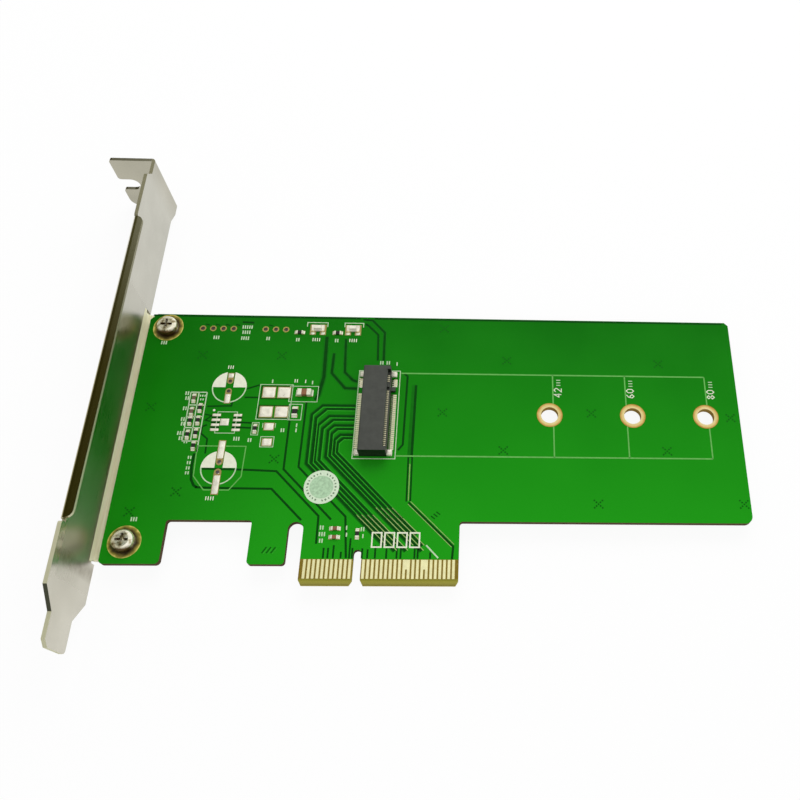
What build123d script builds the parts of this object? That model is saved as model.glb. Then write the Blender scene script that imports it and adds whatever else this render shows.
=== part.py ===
from build123d import *
import math
import os

# NVMe adapter card: a circuit board with an edge connector of 32 contacts a side, a socket for
# an NVMe module, and a folded steel bracket that holds the card to a computer case.
#
# Frame, in millimetres: X = 0 is the middle of the key slot between the fingers and +X leads
# away from the bracket, Y = 0 is the end of the fingers and +Y leads to the bracket's tab,
# Z = 0 is the component surface of the board and +Z is the component side.

# Board outline
BOARD_T = 1.6
BOARD_LEFT = -56.5
BOARD_RIGHT = 90.6
BOARD_TOP = 68.0
SHOULDER_Y = 14.5
TOP_LEFT_CHAMFER = 1.6
TOP_RIGHT_CHAMFER = 0.9
LOW_RIGHT_RADIUS = 1.8
BLEND_R = 0.7

# Ear beside the bracket and the retention finger, with the slots beside it
EAR_W = 13.1
EAR_BOTTOM = 4.5
EAR_R = 1.0
RETENTION_W = 8.25
RETENTION_R = 0.8
HOOK_SLOT_W = 3.45
HOOK_SLOT_TOP = 14.2

# Edge connector
KEY_W = 1.9
KEY_TOP = 7.9
LEFT_BLOCK_W = 11.65
RIGHT_BLOCK_W = 21.65
BLOCK_CORNER_X = 0.6
BLOCK_CORNER_Y = 1.1
BEVEL_L = 1.36
BEVEL_D = 0.5
CUT_MARGIN = 1.0
LEFT_PADS = 11
RIGHT_PADS = 21
PAD_PITCH = 1.0
PAD_W = 0.7
PAD_TOP = 5.67
PAD_BOTTOM = 1.4
KEY_TO_PAD = 1.5
SHORT_PAD_BY = 1.0
SHORT_PADS_COMPONENT_SIDE = ()
SHORT_PADS_SOLDER_SIDE = (0,)
JOINED_PADS = (20, 24)
JOIN_FROM_Y = 3.5

# Copper that shows, as thin lands, rings and barrels
LAND_T = 0.05
BARREL_WALL = 0.06

# Bracket screws and their plated rings
SCREW_FROM_LEFT = 4.8
SCREW_FROM_TOP = 3.9
SCREW_LOW_FROM_EAR = 4.9
SCREW_R = 1.5
SCREW_HOLE_CLEAR = 0.1
SCREW_PAD_R = 3.7
HEAD_R = 2.5
HEAD_H = 2.0
HEAD_EDGE_R = 0.95
SCREW_UNDER_HEAD = 4.0
SCREW_TIP_CHAMFER = 0.3
RECESS_SPAN = 2.9
RECESS_W = 0.6
RECESS_DEPTH = 1.2
RECESS_TAPER = 8.0

# Module socket
SOCKET_BACK_X = -1.5
SOCKET_DEPTH = 5.8
SOCKET_WALL_REACH = 0.7
SOCKET_MID_Y = 41.2
SOCKET_W = 22.0
SOCKET_H = 4.2
SOCKET_END_WALL = 0.95
SOCKET_EDGE_R = 0.2
CARD_SLOT_BOTTOM = 2.45
CARD_SLOT_H = 0.8
CARD_SLOT_DEPTH = 3.9
CONTACT_T = 0.1
CONTACT_W = 0.25
CONTACT_PITCH = 0.5
CONTACT_CLEAR = 0.02
SHORT_UPPER_COUNT = 5
SHORT_LOWER_COUNT = 4
LONG_ROW_FROM_END = 2.1
LONG_ROW_TO_END = 5.9
ROW_GAP = 2.2
KEY_WEB_W = 1.1
KEY_WEB_ON_JAW = 0.5
KEY_WEB_REACH = 1.1
KEY_WEB_TOP = 0.9
JAW_SKIN = 0.25
REAR_TAIL = 1.45
FRONT_TAIL = 1.35
TAB_FOOT = 1.25
TAB_W = 1.1
TAB_T = 0.25
TAB_UP = 1.0
TAB_INSET = 0.1

# Standoff holes, from the stop line of the module
MODULE_STOP_X = 2.73
STANDOFF_HOLES = {"42": 41.06, "60": 61.42, "80": 79.48}
STANDOFF_OFFSET_Y = 0.15
STANDOFF_HOLE_R = 2.1
STANDOFF_RING_R = 3.15

# Bracket sheet
SHEET = 0.86
BOARD_GAP = 1.3
BEND_R = 1.3
TAB_BEND_R = 0.95
FLANGE_BEND_R = 2.16
LIP_RELIEF_W = 0.6
RELIEF_DEPTH = 0.45
FLANGE_RELIEF_W = 0.8
TONGUE_END_Y = -15.2
TAB_Y = 104.82
TAB_OUT = 11.9
TAB_LOW_Z = -4.2
TAB_HIGH_Z = 14.8
NOTCH_LOW_Z = 2.95
NOTCH_W = 4.2
NOTCH_CENTRE_X = 9.05
PRONG_R = 3.0
PRONG_SMALL_R = 0.8
STEP_LOW_Y = (98.5, 101.9)
STEP_HIGH_Y = (98.7, 100.8)
PLATE_W = 20.46
FLAT_EDGE_UPPER_Z = 17.3
FLAT_EDGE_LOWER_Z = 18.0
LIP_FROM_Y = 9.4
LIP_TO_Y = 85.2
LIP_REACH = 2.6
LIP_CORNER_R = 1.6
SHOULDER_LOW_Z = -1.6
SHOULDER_LOW_Y = (-4.1, -8.5)
TONGUE_LOW_Z = 3.1
TONGUE_HIGH_Z = 13.3
TONGUE_CHAMFER = (1.4, 1.8)
TONGUE_R = 1.0
FLANGE_REACH = 9.3
FLANGE_FROM_Y = 5.4
FLANGE_PAST_TOP = 0.4
FLANGE_CORNER_R = 1.5
THREAD_CLEAR = 0.02
COLLAR_H = 0.8
COLLAR_R = 2.1

# Chip sizes: length, width, height
CHIP_0603 = (1.6, 0.8, 0.45)
CHIP_0805 = (2.0, 1.25, 0.55)
CHIP_1206 = (3.2, 1.6, 1.0)
CHIP_EDGE_R = 0.08
LED_SIZE = (3.2, 1.6, 1.1)
LED_LENS = (2.0, 1.2)
LED_BASE_H = 0.45
LED_SLOPE = 0.18

# Places of the chips beside the top edge: X and the distance from that edge
LED_X = {"led_1": -14.4, "led_2": -5.6}
LED_FROM_TOP = 3.5
LED_RESISTOR_X = {"led_resistor_1": -18.9, "led_resistor_2": -9.4}
LED_RESISTOR_FROM_TOP = 4.75

# The cluster beside the unfitted regulator: two columns
CLUSTER_LEFT_X = -42.15
CLUSTER_RIGHT_X = -40.3
FILTER_CAPACITOR_Y = (44.65, 41.1)
LEFT_RESISTOR_Y = (38.75, 35.2)
RIGHT_RESISTOR_Y = 42.1
RIGHT_RESISTOR_PITCH = 3.24
RIGHT_RESISTORS = 4
SENSE_RESISTOR_XY = (-26.6, 36.9)
INPUT_CAPACITOR_XY = (-15.9, 46.4)
INPUT_RESISTOR_XY = (-17.7, 41.35)

# Chips near the fingers
LANE_CAPACITOR_X = -5.5
LANE_CAPACITOR_Y = (12.7, 10.7)
LANE_RESISTOR_XY = (-0.4, 11.5)

# Unfitted pin headers
HEADER_FROM_TOP = 3.95
HEADER_PITCH = 2.54
HEADER_FOUR_X = -43.1
HEADER_THREE_X = -27.5
HEADER_PAD_R = 0.8
HEADER_HOLE_R = 0.5

# Unfitted can capacitors: middle, gap between lead holes, land reaches and land width
CAN_UPPER = {"x": -34.2, "y": 48.05, "pitch": 2.7, "up": 2.2, "down": 3.3, "width": 1.5}
CAN_LOWER = {"x": -33.7, "y": 27.2, "pitch": 2.54, "up": 5.4, "down": 5.5, "width": 1.7}
CAN_HOLE_R = 0.45

# Unfitted eight-lead regulator
REGULATOR_XY = (-33.6, 38.45)
REGULATOR_SPAN = 5.0
REGULATOR_PITCH = 1.27
REGULATOR_LAND = (2.0, 0.65)

# Wide lands and the two lands below them
JUMPER_LAND = (3.25, 3.0)
JUMPER_GAP = 0.4
JUMPER_UPPER_XY = (-22.65, 46.5)
JUMPER_LOWER_XY = (-22.75, 41.35)
DIODE_XY = (-23.4, 35.5)
DIODE_SPAN = 4.0
DIODE_LAND = (2.5, 2.0)

STICKER_XY = (-9.5, 22.5)
STICKER_R = 4.05
STICKER_T = 0.1

# Places worked out from the sizes above
BLOCK_LEFT = -KEY_W / 2 - LEFT_BLOCK_W
BLOCK_RIGHT = KEY_W / 2 + RIGHT_BLOCK_W
RETENTION_RIGHT = BLOCK_LEFT - HOOK_SLOT_W
RETENTION_LEFT = RETENTION_RIGHT - RETENTION_W
EAR_RIGHT = BOARD_LEFT + EAR_W
SCREW_X = BOARD_LEFT + SCREW_FROM_LEFT
SCREW_Y = (BOARD_TOP - SCREW_FROM_TOP, EAR_BOTTOM + SCREW_LOW_FROM_EAR)
SCREW_HOLE_R = SCREW_R + SCREW_HOLE_CLEAR
PLATE_IN = BOARD_LEFT - BOARD_GAP
PLATE_OUT = PLATE_IN - SHEET
PLATE_LOW_Z = -BOARD_T - SHEET
LIP_Z = PLATE_LOW_Z + PLATE_W
FLANGE_TO_Y = BOARD_TOP + FLANGE_PAST_TOP
SOCKET_LOW_Y = SOCKET_MID_Y - SOCKET_W / 2
SOCKET_HIGH_Y = SOCKET_MID_Y + SOCKET_W / 2
SOCKET_FRONT_X = SOCKET_BACK_X + SOCKET_DEPTH
JAW_FRONT_X = SOCKET_FRONT_X + SOCKET_WALL_REACH
SLOT_FLOOR_Z = CARD_SLOT_BOTTOM - CONTACT_T
SLOT_CEILING_Z = CARD_SLOT_BOTTOM + CARD_SLOT_H + CONTACT_T
SLOT_BACK_X = SOCKET_FRONT_X - CARD_SLOT_DEPTH
LONG_ROW_Y = SOCKET_LOW_Y + LONG_ROW_FROM_END
LONG_ROW_L = SOCKET_W - LONG_ROW_FROM_END - LONG_ROW_TO_END
LONG_COUNT = 1 + int(LONG_ROW_L / CONTACT_PITCH + 0.001)
SHORT_ROW_Y = LONG_ROW_Y + (LONG_COUNT - 1) * CONTACT_PITCH + ROW_GAP
KEY_WEB_Y = SHORT_ROW_Y - ROW_GAP / 2
STANDOFF_Y = SOCKET_MID_Y + STANDOFF_OFFSET_Y


def rect(x0, x1, y0, y1):
    """A rectangle between two corners."""
    return Pos((x0 + x1) / 2, (y0 + y1) / 2) * Rectangle(x1 - x0, y1 - y0)


def box(x0, x1, y0, y1, z0, z1):
    """A box between two corners."""
    return Pos((x0 + x1) / 2, (y0 + y1) / 2, (z0 + z1) / 2) * Box(x1 - x0, y1 - y0, z1 - z0)


def outline(points):
    """A face whose edge runs straight from point to point."""
    return make_face(Polyline(*points, close=True))


def corners_at(sketch, points, reach=0.01):
    """The corners of a flat sketch that lie at the given points."""
    found = []
    for vertex in sketch.vertices():
        for x, y in points:
            if math.hypot(vertex.X - x, vertex.Y - y) < reach:
                found.append(vertex)
    return found


def rounded(sketch, radius, points):
    return fillet(corners_at(sketch, points), radius)


def contact_places(row, count):
    """Middle of each contact along Y, in the row that starts at the given place."""
    return [row + i * CONTACT_PITCH for i in range(count)]


def finger_places():
    """Middle of each edge pad along X, counted from the bracket's side."""
    left = [-KEY_TO_PAD - i * PAD_PITCH for i in range(LEFT_PADS)]
    right = [KEY_TO_PAD + i * PAD_PITCH for i in range(RIGHT_PADS)]
    return sorted(left) + right


def header_places():
    y = BOARD_TOP - HEADER_FROM_TOP
    four = [(HEADER_FOUR_X + i * HEADER_PITCH, y) for i in range(4)]
    three = [(HEADER_THREE_X + i * HEADER_PITCH, y) for i in range(3)]
    return four, three


def can_holes(can):
    return [(can["x"], can["y"] + can["pitch"] / 2), (can["x"], can["y"] - can["pitch"] / 2)]


def standoff_places():
    return {name: (MODULE_STOP_X + reach, STANDOFF_Y) for name, reach in STANDOFF_HOLES.items()}


def screw_places():
    return [(SCREW_X, y) for y in SCREW_Y]


def board_face():
    """The board's outline, without its bevels and holes."""
    face = rect(BOARD_LEFT, BOARD_RIGHT, SHOULDER_Y, BOARD_TOP)
    face += rect(BOARD_LEFT, EAR_RIGHT, EAR_BOTTOM, SHOULDER_Y)
    face += rect(RETENTION_LEFT, RETENTION_RIGHT, EAR_BOTTOM, SHOULDER_Y)
    face += rect(BLOCK_LEFT, BLOCK_RIGHT, 0, SHOULDER_Y)
    for x, side in ((BLOCK_LEFT, 1), (-KEY_W / 2, -1), (KEY_W / 2, 1), (BLOCK_RIGHT, -1)):
        tip = x + side * BLOCK_CORNER_X
        face -= outline([(x, 0), (tip, 0), (x, BLOCK_CORNER_Y)])
    hook_r = HOOK_SLOT_W / 2
    face += rect(RETENTION_RIGHT, BLOCK_LEFT, HOOK_SLOT_TOP - hook_r, SHOULDER_Y)
    face -= Pos(RETENTION_RIGHT + hook_r, HOOK_SLOT_TOP - hook_r) * Circle(hook_r)
    key_r = KEY_W / 2
    face -= rect(-key_r, key_r, -CUT_MARGIN, KEY_TOP - key_r)
    face -= Pos(0, KEY_TOP - key_r) * Circle(key_r)
    face = rounded(face, EAR_R, [(BOARD_LEFT, EAR_BOTTOM), (EAR_RIGHT, EAR_BOTTOM)])
    face = rounded(face, RETENTION_R, [(RETENTION_LEFT, EAR_BOTTOM), (RETENTION_RIGHT, EAR_BOTTOM)])
    inner = [(EAR_RIGHT, SHOULDER_Y), (RETENTION_LEFT, SHOULDER_Y), (BLOCK_RIGHT, SHOULDER_Y)]
    face = rounded(face, BLEND_R, inner)
    face = rounded(face, LOW_RIGHT_RADIUS, [(BOARD_RIGHT, SHOULDER_Y)])
    face = chamfer(corners_at(face, [(BOARD_LEFT, BOARD_TOP)]), TOP_LEFT_CHAMFER)
    return chamfer(corners_at(face, [(BOARD_RIGHT, BOARD_TOP)]), TOP_RIGHT_CHAMFER)


def through_holes():
    """Every hole of the board: place and the radius that is drilled."""
    holes = [(place, SCREW_HOLE_R + BARREL_WALL) for place in screw_places()]
    holes += [(place, STANDOFF_HOLE_R) for place in standoff_places().values()]
    four, three = header_places()
    holes += [(place, HEADER_HOLE_R + BARREL_WALL) for place in four + three]
    for can in (CAN_UPPER, CAN_LOWER):
        holes += [(place, CAN_HOLE_R + BARREL_WALL) for place in can_holes(can)]
    return holes


def finger_bevel():
    """The wedge that is planed off one face at the end of the fingers."""
    far = CUT_MARGIN
    profile = outline([(-far, -BEVEL_D), (0, -BEVEL_D), (BEVEL_L, 0), (BEVEL_L, far), (-far, far)])
    wedge = extrude(Plane.YZ * profile, RIGHT_BLOCK_W + LEFT_BLOCK_W + KEY_W)
    return Pos(BLOCK_LEFT, 0, 0) * wedge


def circuit_board():
    face = board_face()
    for (x, y), radius in through_holes():
        face -= Pos(x, y) * Circle(radius)
    board = extrude(face, -BOARD_T)
    wedge = finger_bevel()
    board -= wedge
    board -= Pos(0, 0, -BOARD_T) * mirror(wedge, about=Plane.XY)
    return board


def contact_pads(z0, z1, short_pads, joined_pads=()):
    """The plated fingers of one face. A joined pad is one piece with the next, by their upper halves."""
    pads = []
    for i, x in enumerate(finger_places()):
        low = PAD_BOTTOM + (SHORT_PAD_BY if i in short_pads else 0)
        pad = box(x - PAD_W / 2, x + PAD_W / 2, low, PAD_TOP, z0, z1)
        if i - 1 in joined_pads:
            pads[-1] += box(x - PAD_PITCH, x, JOIN_FROM_Y, PAD_TOP, z0, z1) + pad
        else:
            pads.append(pad)
    return pads


def plated_ring(place, hole_r, ring_r, lower_ring=True):
    """A ring on the board's face, the barrel through the hole and a ring on the far face."""
    x, y = place
    low = -BOARD_T - LAND_T if lower_ring else -BOARD_T
    ring = Pos(x, y, 0) * extrude(Circle(ring_r) - Circle(hole_r), LAND_T)
    barrel = extrude(Circle(hole_r + BARREL_WALL) - Circle(hole_r), LAND_T - low)
    ring += Pos(x, y, low) * barrel
    if lower_ring:
        ring += Pos(x, y, low) * extrude(Circle(ring_r) - Circle(hole_r), LAND_T)
    return ring


def face_rings(place, hole_r, ring_r):
    """Two flat rings round an unplated hole, one on each face of the board."""
    x, y = place
    ring = extrude(Circle(ring_r) - Circle(hole_r), LAND_T)
    return [Pos(x, y, 0) * ring, Pos(x, y, -BOARD_T - LAND_T) * ring]


def land(x, y, size):
    """A flat tinned land."""
    w, h = size
    return box(x - w / 2, x + w / 2, y - h / 2, y + h / 2, 0, LAND_T)


def can_lands(can):
    """The two lands of a can capacitor, each with its lead eyelet."""
    pieces = []
    for (x, y), reach in zip(can_holes(can), (can["up"], -can["down"])):
        half = can["width"] / 2
        strip = rect(x - half, x + half, min(y, y + reach), max(y, y + reach))
        strip += Pos(x, y) * Circle(half)
        strip -= Pos(x, y) * Circle(CAN_HOLE_R)
        piece = extrude(strip, LAND_T) + plated_ring((x, y), CAN_HOLE_R, half)
        pieces.append(piece)
    return pieces


def regulator_lands():
    x, y = REGULATOR_XY
    pieces = []
    for side in (-1, 1):
        for i in range(4):
            row = y + (1.5 - i) * REGULATOR_PITCH
            pieces.append(land(x + side * REGULATOR_SPAN / 2, row, REGULATOR_LAND))
    return pieces


def land_pair(middle, span, size, along_x):
    x, y = middle
    dx, dy = (span / 2, 0) if along_x else (0, span / 2)
    return [land(x - dx, y - dy, size), land(x + dx, y + dy, size)]


def chip(x, y, size, along_x):
    """A chip part lying on the board, its edges broken."""
    length, width, height = size
    body = Box(length, width, height) if along_x else Box(width, length, height)
    body = fillet(body.edges(), CHIP_EDGE_R)
    return Pos(x, y, height / 2) * body


def led(x, y):
    """A chip light: a base with a lens block whose sides slope."""
    length, width, height = LED_SIZE
    base = Pos(x, y, LED_BASE_H / 2) * Box(length, width, LED_BASE_H)
    lens_l, lens_w = LED_LENS
    top = Rectangle(lens_l - 2 * LED_SLOPE, lens_w - 2 * LED_SLOPE)
    lens = loft([Rectangle(lens_l, lens_w), Pos(0, 0, height - LED_BASE_H) * top])
    return base + Pos(x, y, LED_BASE_H) * lens


def bracket_screw(x, y):
    """A pan head machine screw with a cross recess, its shank plain to the thread's size."""
    seat = LAND_T
    tip = seat - SCREW_UNDER_HEAD
    edge = SCREW_R - SCREW_TIP_CHAMFER
    shank_points = [(0, tip), (edge, tip), (SCREW_R, tip + SCREW_TIP_CHAMFER), (SCREW_R, seat)]
    head_points = [(HEAD_R, seat), (HEAD_R, seat + HEAD_H), (0, seat + HEAD_H)]
    profile = outline(shank_points + head_points)
    profile = rounded(profile, HEAD_EDGE_R, [(HEAD_R, seat + HEAD_H)])
    screw = revolve(Plane.XZ * profile, Axis.Z)
    cross = Rectangle(RECESS_SPAN, RECESS_W) + Rectangle(RECESS_W, RECESS_SPAN)
    floor = seat + HEAD_H - RECESS_DEPTH
    recess = extrude(Pos(0, 0, seat + HEAD_H) * cross, -RECESS_DEPTH, taper=RECESS_TAPER)
    screw -= recess
    screw -= Pos(0, 0, floor) * Cone(0, RECESS_W, RECESS_W, align=(Align.CENTER, Align.CENTER, Align.MIN))
    return Pos(x, y, 0) * screw


def lower_contact(y):
    """A strip along the slot's floor, down inside the jaw and out on the board."""
    t = CONTACT_T
    top = SLOT_FLOOR_Z + t
    leg = JAW_FRONT_X - JAW_SKIN
    tip = JAW_FRONT_X + FRONT_TAIL
    points = [
        (SLOT_BACK_X + CONTACT_CLEAR, SLOT_FLOOR_Z), (SLOT_BACK_X + CONTACT_CLEAR, top), (leg, top),
        (leg, t), (tip, t), (tip, 0), (leg - t, 0), (leg - t, SLOT_FLOOR_Z),
    ]
    profile = Plane.XZ * outline(points)
    return Pos(0, y + CONTACT_W / 2, 0) * extrude(profile, CONTACT_W)


def lower_contact_slot(y):
    """The room in the jaw for a lower contact's leg and the start of its tail."""
    room = CONTACT_W / 2 + CONTACT_CLEAR
    leg = JAW_FRONT_X - JAW_SKIN + CONTACT_CLEAR
    back = JAW_FRONT_X - JAW_SKIN - CONTACT_T - CONTACT_CLEAR
    slot = box(back, leg, y - room, y + room, 0, SLOT_FLOOR_Z)
    return slot + box(leg, JAW_FRONT_X, y - room, y + room, 0, CONTACT_T + CONTACT_CLEAR)


def upper_contact(y, grow=0.0):
    """A strip out on the board behind the socket, up its rear wall and along the slot's ceiling."""
    back = SOCKET_BACK_X
    t = CONTACT_T
    g = grow
    inner = back + t + 0.1
    low = SLOT_CEILING_Z - t
    points = [
        (back - REAR_TAIL, 0), (back - REAR_TAIL, t), (inner - t - g, t), (inner - t - g, SLOT_CEILING_Z + g),
        (SOCKET_FRONT_X - t + g, SLOT_CEILING_Z + g), (SOCKET_FRONT_X - t + g, low), (SLOT_BACK_X, low),
        (SLOT_BACK_X, low - g), (inner + g, low - g), (inner + g, 0),
    ]
    if g == 0:
        points.remove((SLOT_BACK_X, low))
        points.remove((SLOT_BACK_X, low - g))
    profile = Plane.XZ * outline(points)
    width = CONTACT_W + 2 * grow
    return Pos(0, y + width / 2, 0) * extrude(profile, width)


def socket_housing():
    """The moulded body: end walls, a top plate, a longer lower jaw and the web that keys the module."""
    body = box(SOCKET_BACK_X, JAW_FRONT_X, SOCKET_LOW_Y, SOCKET_HIGH_Y, 0, SOCKET_H)
    inner = (SOCKET_LOW_Y + SOCKET_END_WALL, SOCKET_HIGH_Y - SOCKET_END_WALL)
    body -= box(SOCKET_FRONT_X, JAW_FRONT_X, *inner, SLOT_FLOOR_Z, SOCKET_H)
    body -= box(SLOT_BACK_X, SOCKET_FRONT_X, *inner, SLOT_FLOOR_Z, SLOT_CEILING_Z)
    web = (KEY_WEB_Y - KEY_WEB_W / 2, KEY_WEB_Y + KEY_WEB_W / 2)
    body += box(SLOT_BACK_X, SOCKET_FRONT_X + KEY_WEB_ON_JAW, *web, SLOT_FLOOR_Z, SLOT_CEILING_Z)
    body += box(JAW_FRONT_X, JAW_FRONT_X + KEY_WEB_REACH, *web, 0, KEY_WEB_TOP)
    top_edges = body.edges().filter_by(Axis.Y).group_by(Axis.Z)[-1]
    body = chamfer(top_edges, SOCKET_EDGE_R)
    for y in upper_places():
        body -= upper_contact(y, CONTACT_CLEAR)
    for y in lower_places():
        body -= lower_contact_slot(y)
    return body


def upper_places():
    return contact_places(LONG_ROW_Y, LONG_COUNT) + contact_places(SHORT_ROW_Y, SHORT_UPPER_COUNT)


def lower_places():
    shift = CONTACT_PITCH / 2
    long_row = contact_places(LONG_ROW_Y - shift, LONG_COUNT)
    return long_row + contact_places(SHORT_ROW_Y + shift, SHORT_LOWER_COUNT)


def hold_down_tabs():
    """Four soldered feet, two at the rear face and two at the fronts of the end walls."""
    pieces = []
    for face_x, side in ((SOCKET_BACK_X, -1), (JAW_FRONT_X, 1)):
        for edge_y, inward in ((SOCKET_LOW_Y, 1), (SOCKET_HIGH_Y, -1)):
            y0 = edge_y + inward * TAB_INSET
            y1 = y0 + inward * TAB_W
            lows = (min(y0, y1), max(y0, y1))
            foot_x = sorted((face_x, face_x + side * TAB_FOOT))
            leg_x = sorted((face_x, face_x + side * TAB_T))
            pieces.append(box(*foot_x, *lows, 0, TAB_T) + box(*leg_x, *lows, 0, TAB_UP))
    return pieces


def fold_profile(corner, leg_end, lip_end, plane_in, bend_r=BEND_R):
    """An L-shaped section of the sheet: a leg along the plate and a lip square to it.

    The first axis runs across the plate and the second along it. The corner is where the two
    outer faces would meet, plane_in is the far face of the leg.
    """
    cx, cy = corner
    across = math.copysign(SHEET, plane_in - cx)
    along = math.copysign(SHEET, leg_end - cy)
    inside = (cx + across, cy + along)
    points = [(cx, leg_end), (cx, cy), (lip_end, cy), (lip_end, cy + along), inside, (cx + across, leg_end)]
    face = rounded(outline(points), bend_r, [(cx, cy)])
    return rounded(face, bend_r - SHEET, [inside])


def plate_face():
    """The flat plate in the YZ plane, with its steps, tongue and the gaps left for the folds."""
    lip_base = LIP_Z - BEND_R - RELIEF_DEPTH
    flange_base = PLATE_LOW_Z + FLANGE_BEND_R + RELIEF_DEPTH
    tab_base = TAB_Y - TAB_BEND_R
    run = TONGUE_HIGH_Z - TONGUE_LOW_Z
    points = [
        (tab_base, TAB_LOW_Z), (STEP_LOW_Y[1], TAB_LOW_Z), (STEP_LOW_Y[0], PLATE_LOW_Z),
        (FLANGE_TO_Y + FLANGE_RELIEF_W, PLATE_LOW_Z), (FLANGE_TO_Y + FLANGE_RELIEF_W, flange_base),
        (FLANGE_FROM_Y - FLANGE_RELIEF_W, flange_base), (FLANGE_FROM_Y - FLANGE_RELIEF_W, SHOULDER_LOW_Z),
        (SHOULDER_LOW_Y[0], SHOULDER_LOW_Z), (SHOULDER_LOW_Y[1], TONGUE_LOW_Z),
        (TONGUE_END_Y, TONGUE_LOW_Z), (TONGUE_END_Y, TONGUE_HIGH_Z - TONGUE_CHAMFER[1]),
        (TONGUE_END_Y + TONGUE_CHAMFER[0], TONGUE_LOW_Z + run), (SHOULDER_LOW_Y[1], TONGUE_HIGH_Z),
        (SHOULDER_LOW_Y[0], FLAT_EDGE_LOWER_Z), (LIP_FROM_Y - LIP_RELIEF_W, FLAT_EDGE_LOWER_Z),
        (LIP_FROM_Y - LIP_RELIEF_W, lip_base), (LIP_TO_Y + LIP_RELIEF_W, lip_base),
        (LIP_TO_Y + LIP_RELIEF_W, FLAT_EDGE_UPPER_Z), (STEP_HIGH_Y[0], FLAT_EDGE_UPPER_Z),
        (STEP_HIGH_Y[1], TAB_HIGH_Z), (tab_base, TAB_HIGH_Z),
    ]
    face = outline(points)
    face = rounded(face, TONGUE_R, [(TONGUE_END_Y, TONGUE_LOW_Z)])
    edge_corners = [(LIP_FROM_Y - LIP_RELIEF_W, FLAT_EDGE_LOWER_Z), (LIP_TO_Y + LIP_RELIEF_W, FLAT_EDGE_UPPER_Z)]
    return rounded(face, BLEND_R, edge_corners)


def bracket_lip():
    """The narrow lip folded in along the raised side of the plate."""
    leg_end = LIP_Z - BEND_R - RELIEF_DEPTH - SHEET
    profile = fold_profile((PLATE_OUT, LIP_Z), leg_end, PLATE_OUT + LIP_REACH, PLATE_IN)
    lip = extrude(Plane.XZ * profile, -(LIP_TO_Y - LIP_FROM_Y))
    lip = Pos(0, LIP_FROM_Y, 0) * lip
    tip_edges = lip.edges().filter_by(Axis.Z).group_by(Axis.X)[-1]
    return fillet(tip_edges, LIP_CORNER_R)


def bracket_flange():
    """The flange under the board, with two tapped collars for the screws."""
    leg_end = PLATE_LOW_Z + FLANGE_BEND_R + RELIEF_DEPTH + SHEET
    tip = PLATE_IN + BOARD_GAP + FLANGE_REACH
    profile = fold_profile((PLATE_OUT, PLATE_LOW_Z), leg_end, tip, PLATE_IN, FLANGE_BEND_R)
    flange = extrude(Plane.XZ * profile, -(FLANGE_TO_Y - FLANGE_FROM_Y))
    flange = Pos(0, FLANGE_FROM_Y, 0) * flange
    tip_edges = flange.edges().filter_by(Axis.Z).group_by(Axis.X)[-1]
    flange = fillet(tip_edges, FLANGE_CORNER_R)
    for x, y in screw_places():
        flange += Pos(x, y, PLATE_LOW_Z) * extrude(Circle(COLLAR_R), -COLLAR_H)
    for x, y in screw_places():
        bore = extrude(Circle(SCREW_R + THREAD_CLEAR), BOARD_T + SHEET + COLLAR_H)
        flange -= Pos(x, y, PLATE_LOW_Z - COLLAR_H) * bore
    return flange


def bracket_tab():
    """The tab that is screwed to the case, folded outwards, with its open notch."""
    leg_end = TAB_Y - TAB_BEND_R - SHEET
    outer_x = PLATE_IN - TAB_OUT
    top_y = TAB_Y + SHEET
    profile = fold_profile((PLATE_IN, top_y), leg_end, outer_x, PLATE_OUT, TAB_BEND_R)
    tab = Pos(0, 0, TAB_LOW_Z) * extrude(profile, TAB_HIGH_Z - TAB_LOW_Z)
    notch_mid = NOTCH_LOW_Z + NOTCH_W / 2
    notch_x = PLATE_IN - NOTCH_CENTRE_X
    notch = box(outer_x, notch_x, TAB_Y, top_y, NOTCH_LOW_Z, NOTCH_LOW_Z + NOTCH_W)
    drill = Pos(notch_x, TAB_Y + SHEET / 2, notch_mid) * Rot(90, 0, 0) * Cylinder(NOTCH_W / 2, 2 * SHEET)
    tab -= notch
    tab -= drill
    tip_edges = tab.edges().filter_by(Axis.Y).group_by(Axis.X)[0].sort_by(Axis.Z)
    tab = fillet(tip_edges[0], PRONG_R)
    tip_edges = tab.edges().filter_by(Axis.Y).group_by(Axis.X)[0].sort_by(Axis.Z)
    return fillet(tip_edges, PRONG_SMALL_R)


def mounting_bracket():
    plate = Pos(PLATE_OUT, 0, 0) * extrude(Plane.YZ * plate_face(), SHEET)
    return plate + bracket_lip() + bracket_flange() + bracket_tab()


def label_sticker():
    x, y = STICKER_XY
    return Pos(x, y, 0) * extrude(Circle(STICKER_R), STICKER_T)


def cluster_chips():
    """The two columns of small capacitors and resistors, by name."""
    parts = {}
    for i, y in enumerate(FILTER_CAPACITOR_Y):
        parts[f"filter_capacitor_{i + 1}"] = chip(CLUSTER_LEFT_X, y, CHIP_0603, False)
    places = [(CLUSTER_LEFT_X, y) for y in LEFT_RESISTOR_Y]
    for i in range(RIGHT_RESISTORS):
        places.append((CLUSTER_RIGHT_X, RIGHT_RESISTOR_Y - i * RIGHT_RESISTOR_PITCH))
    for i, (x, y) in enumerate(places):
        parts[f"divider_resistor_{i + 1}"] = chip(x, y, CHIP_0603, False)
    return parts


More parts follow.
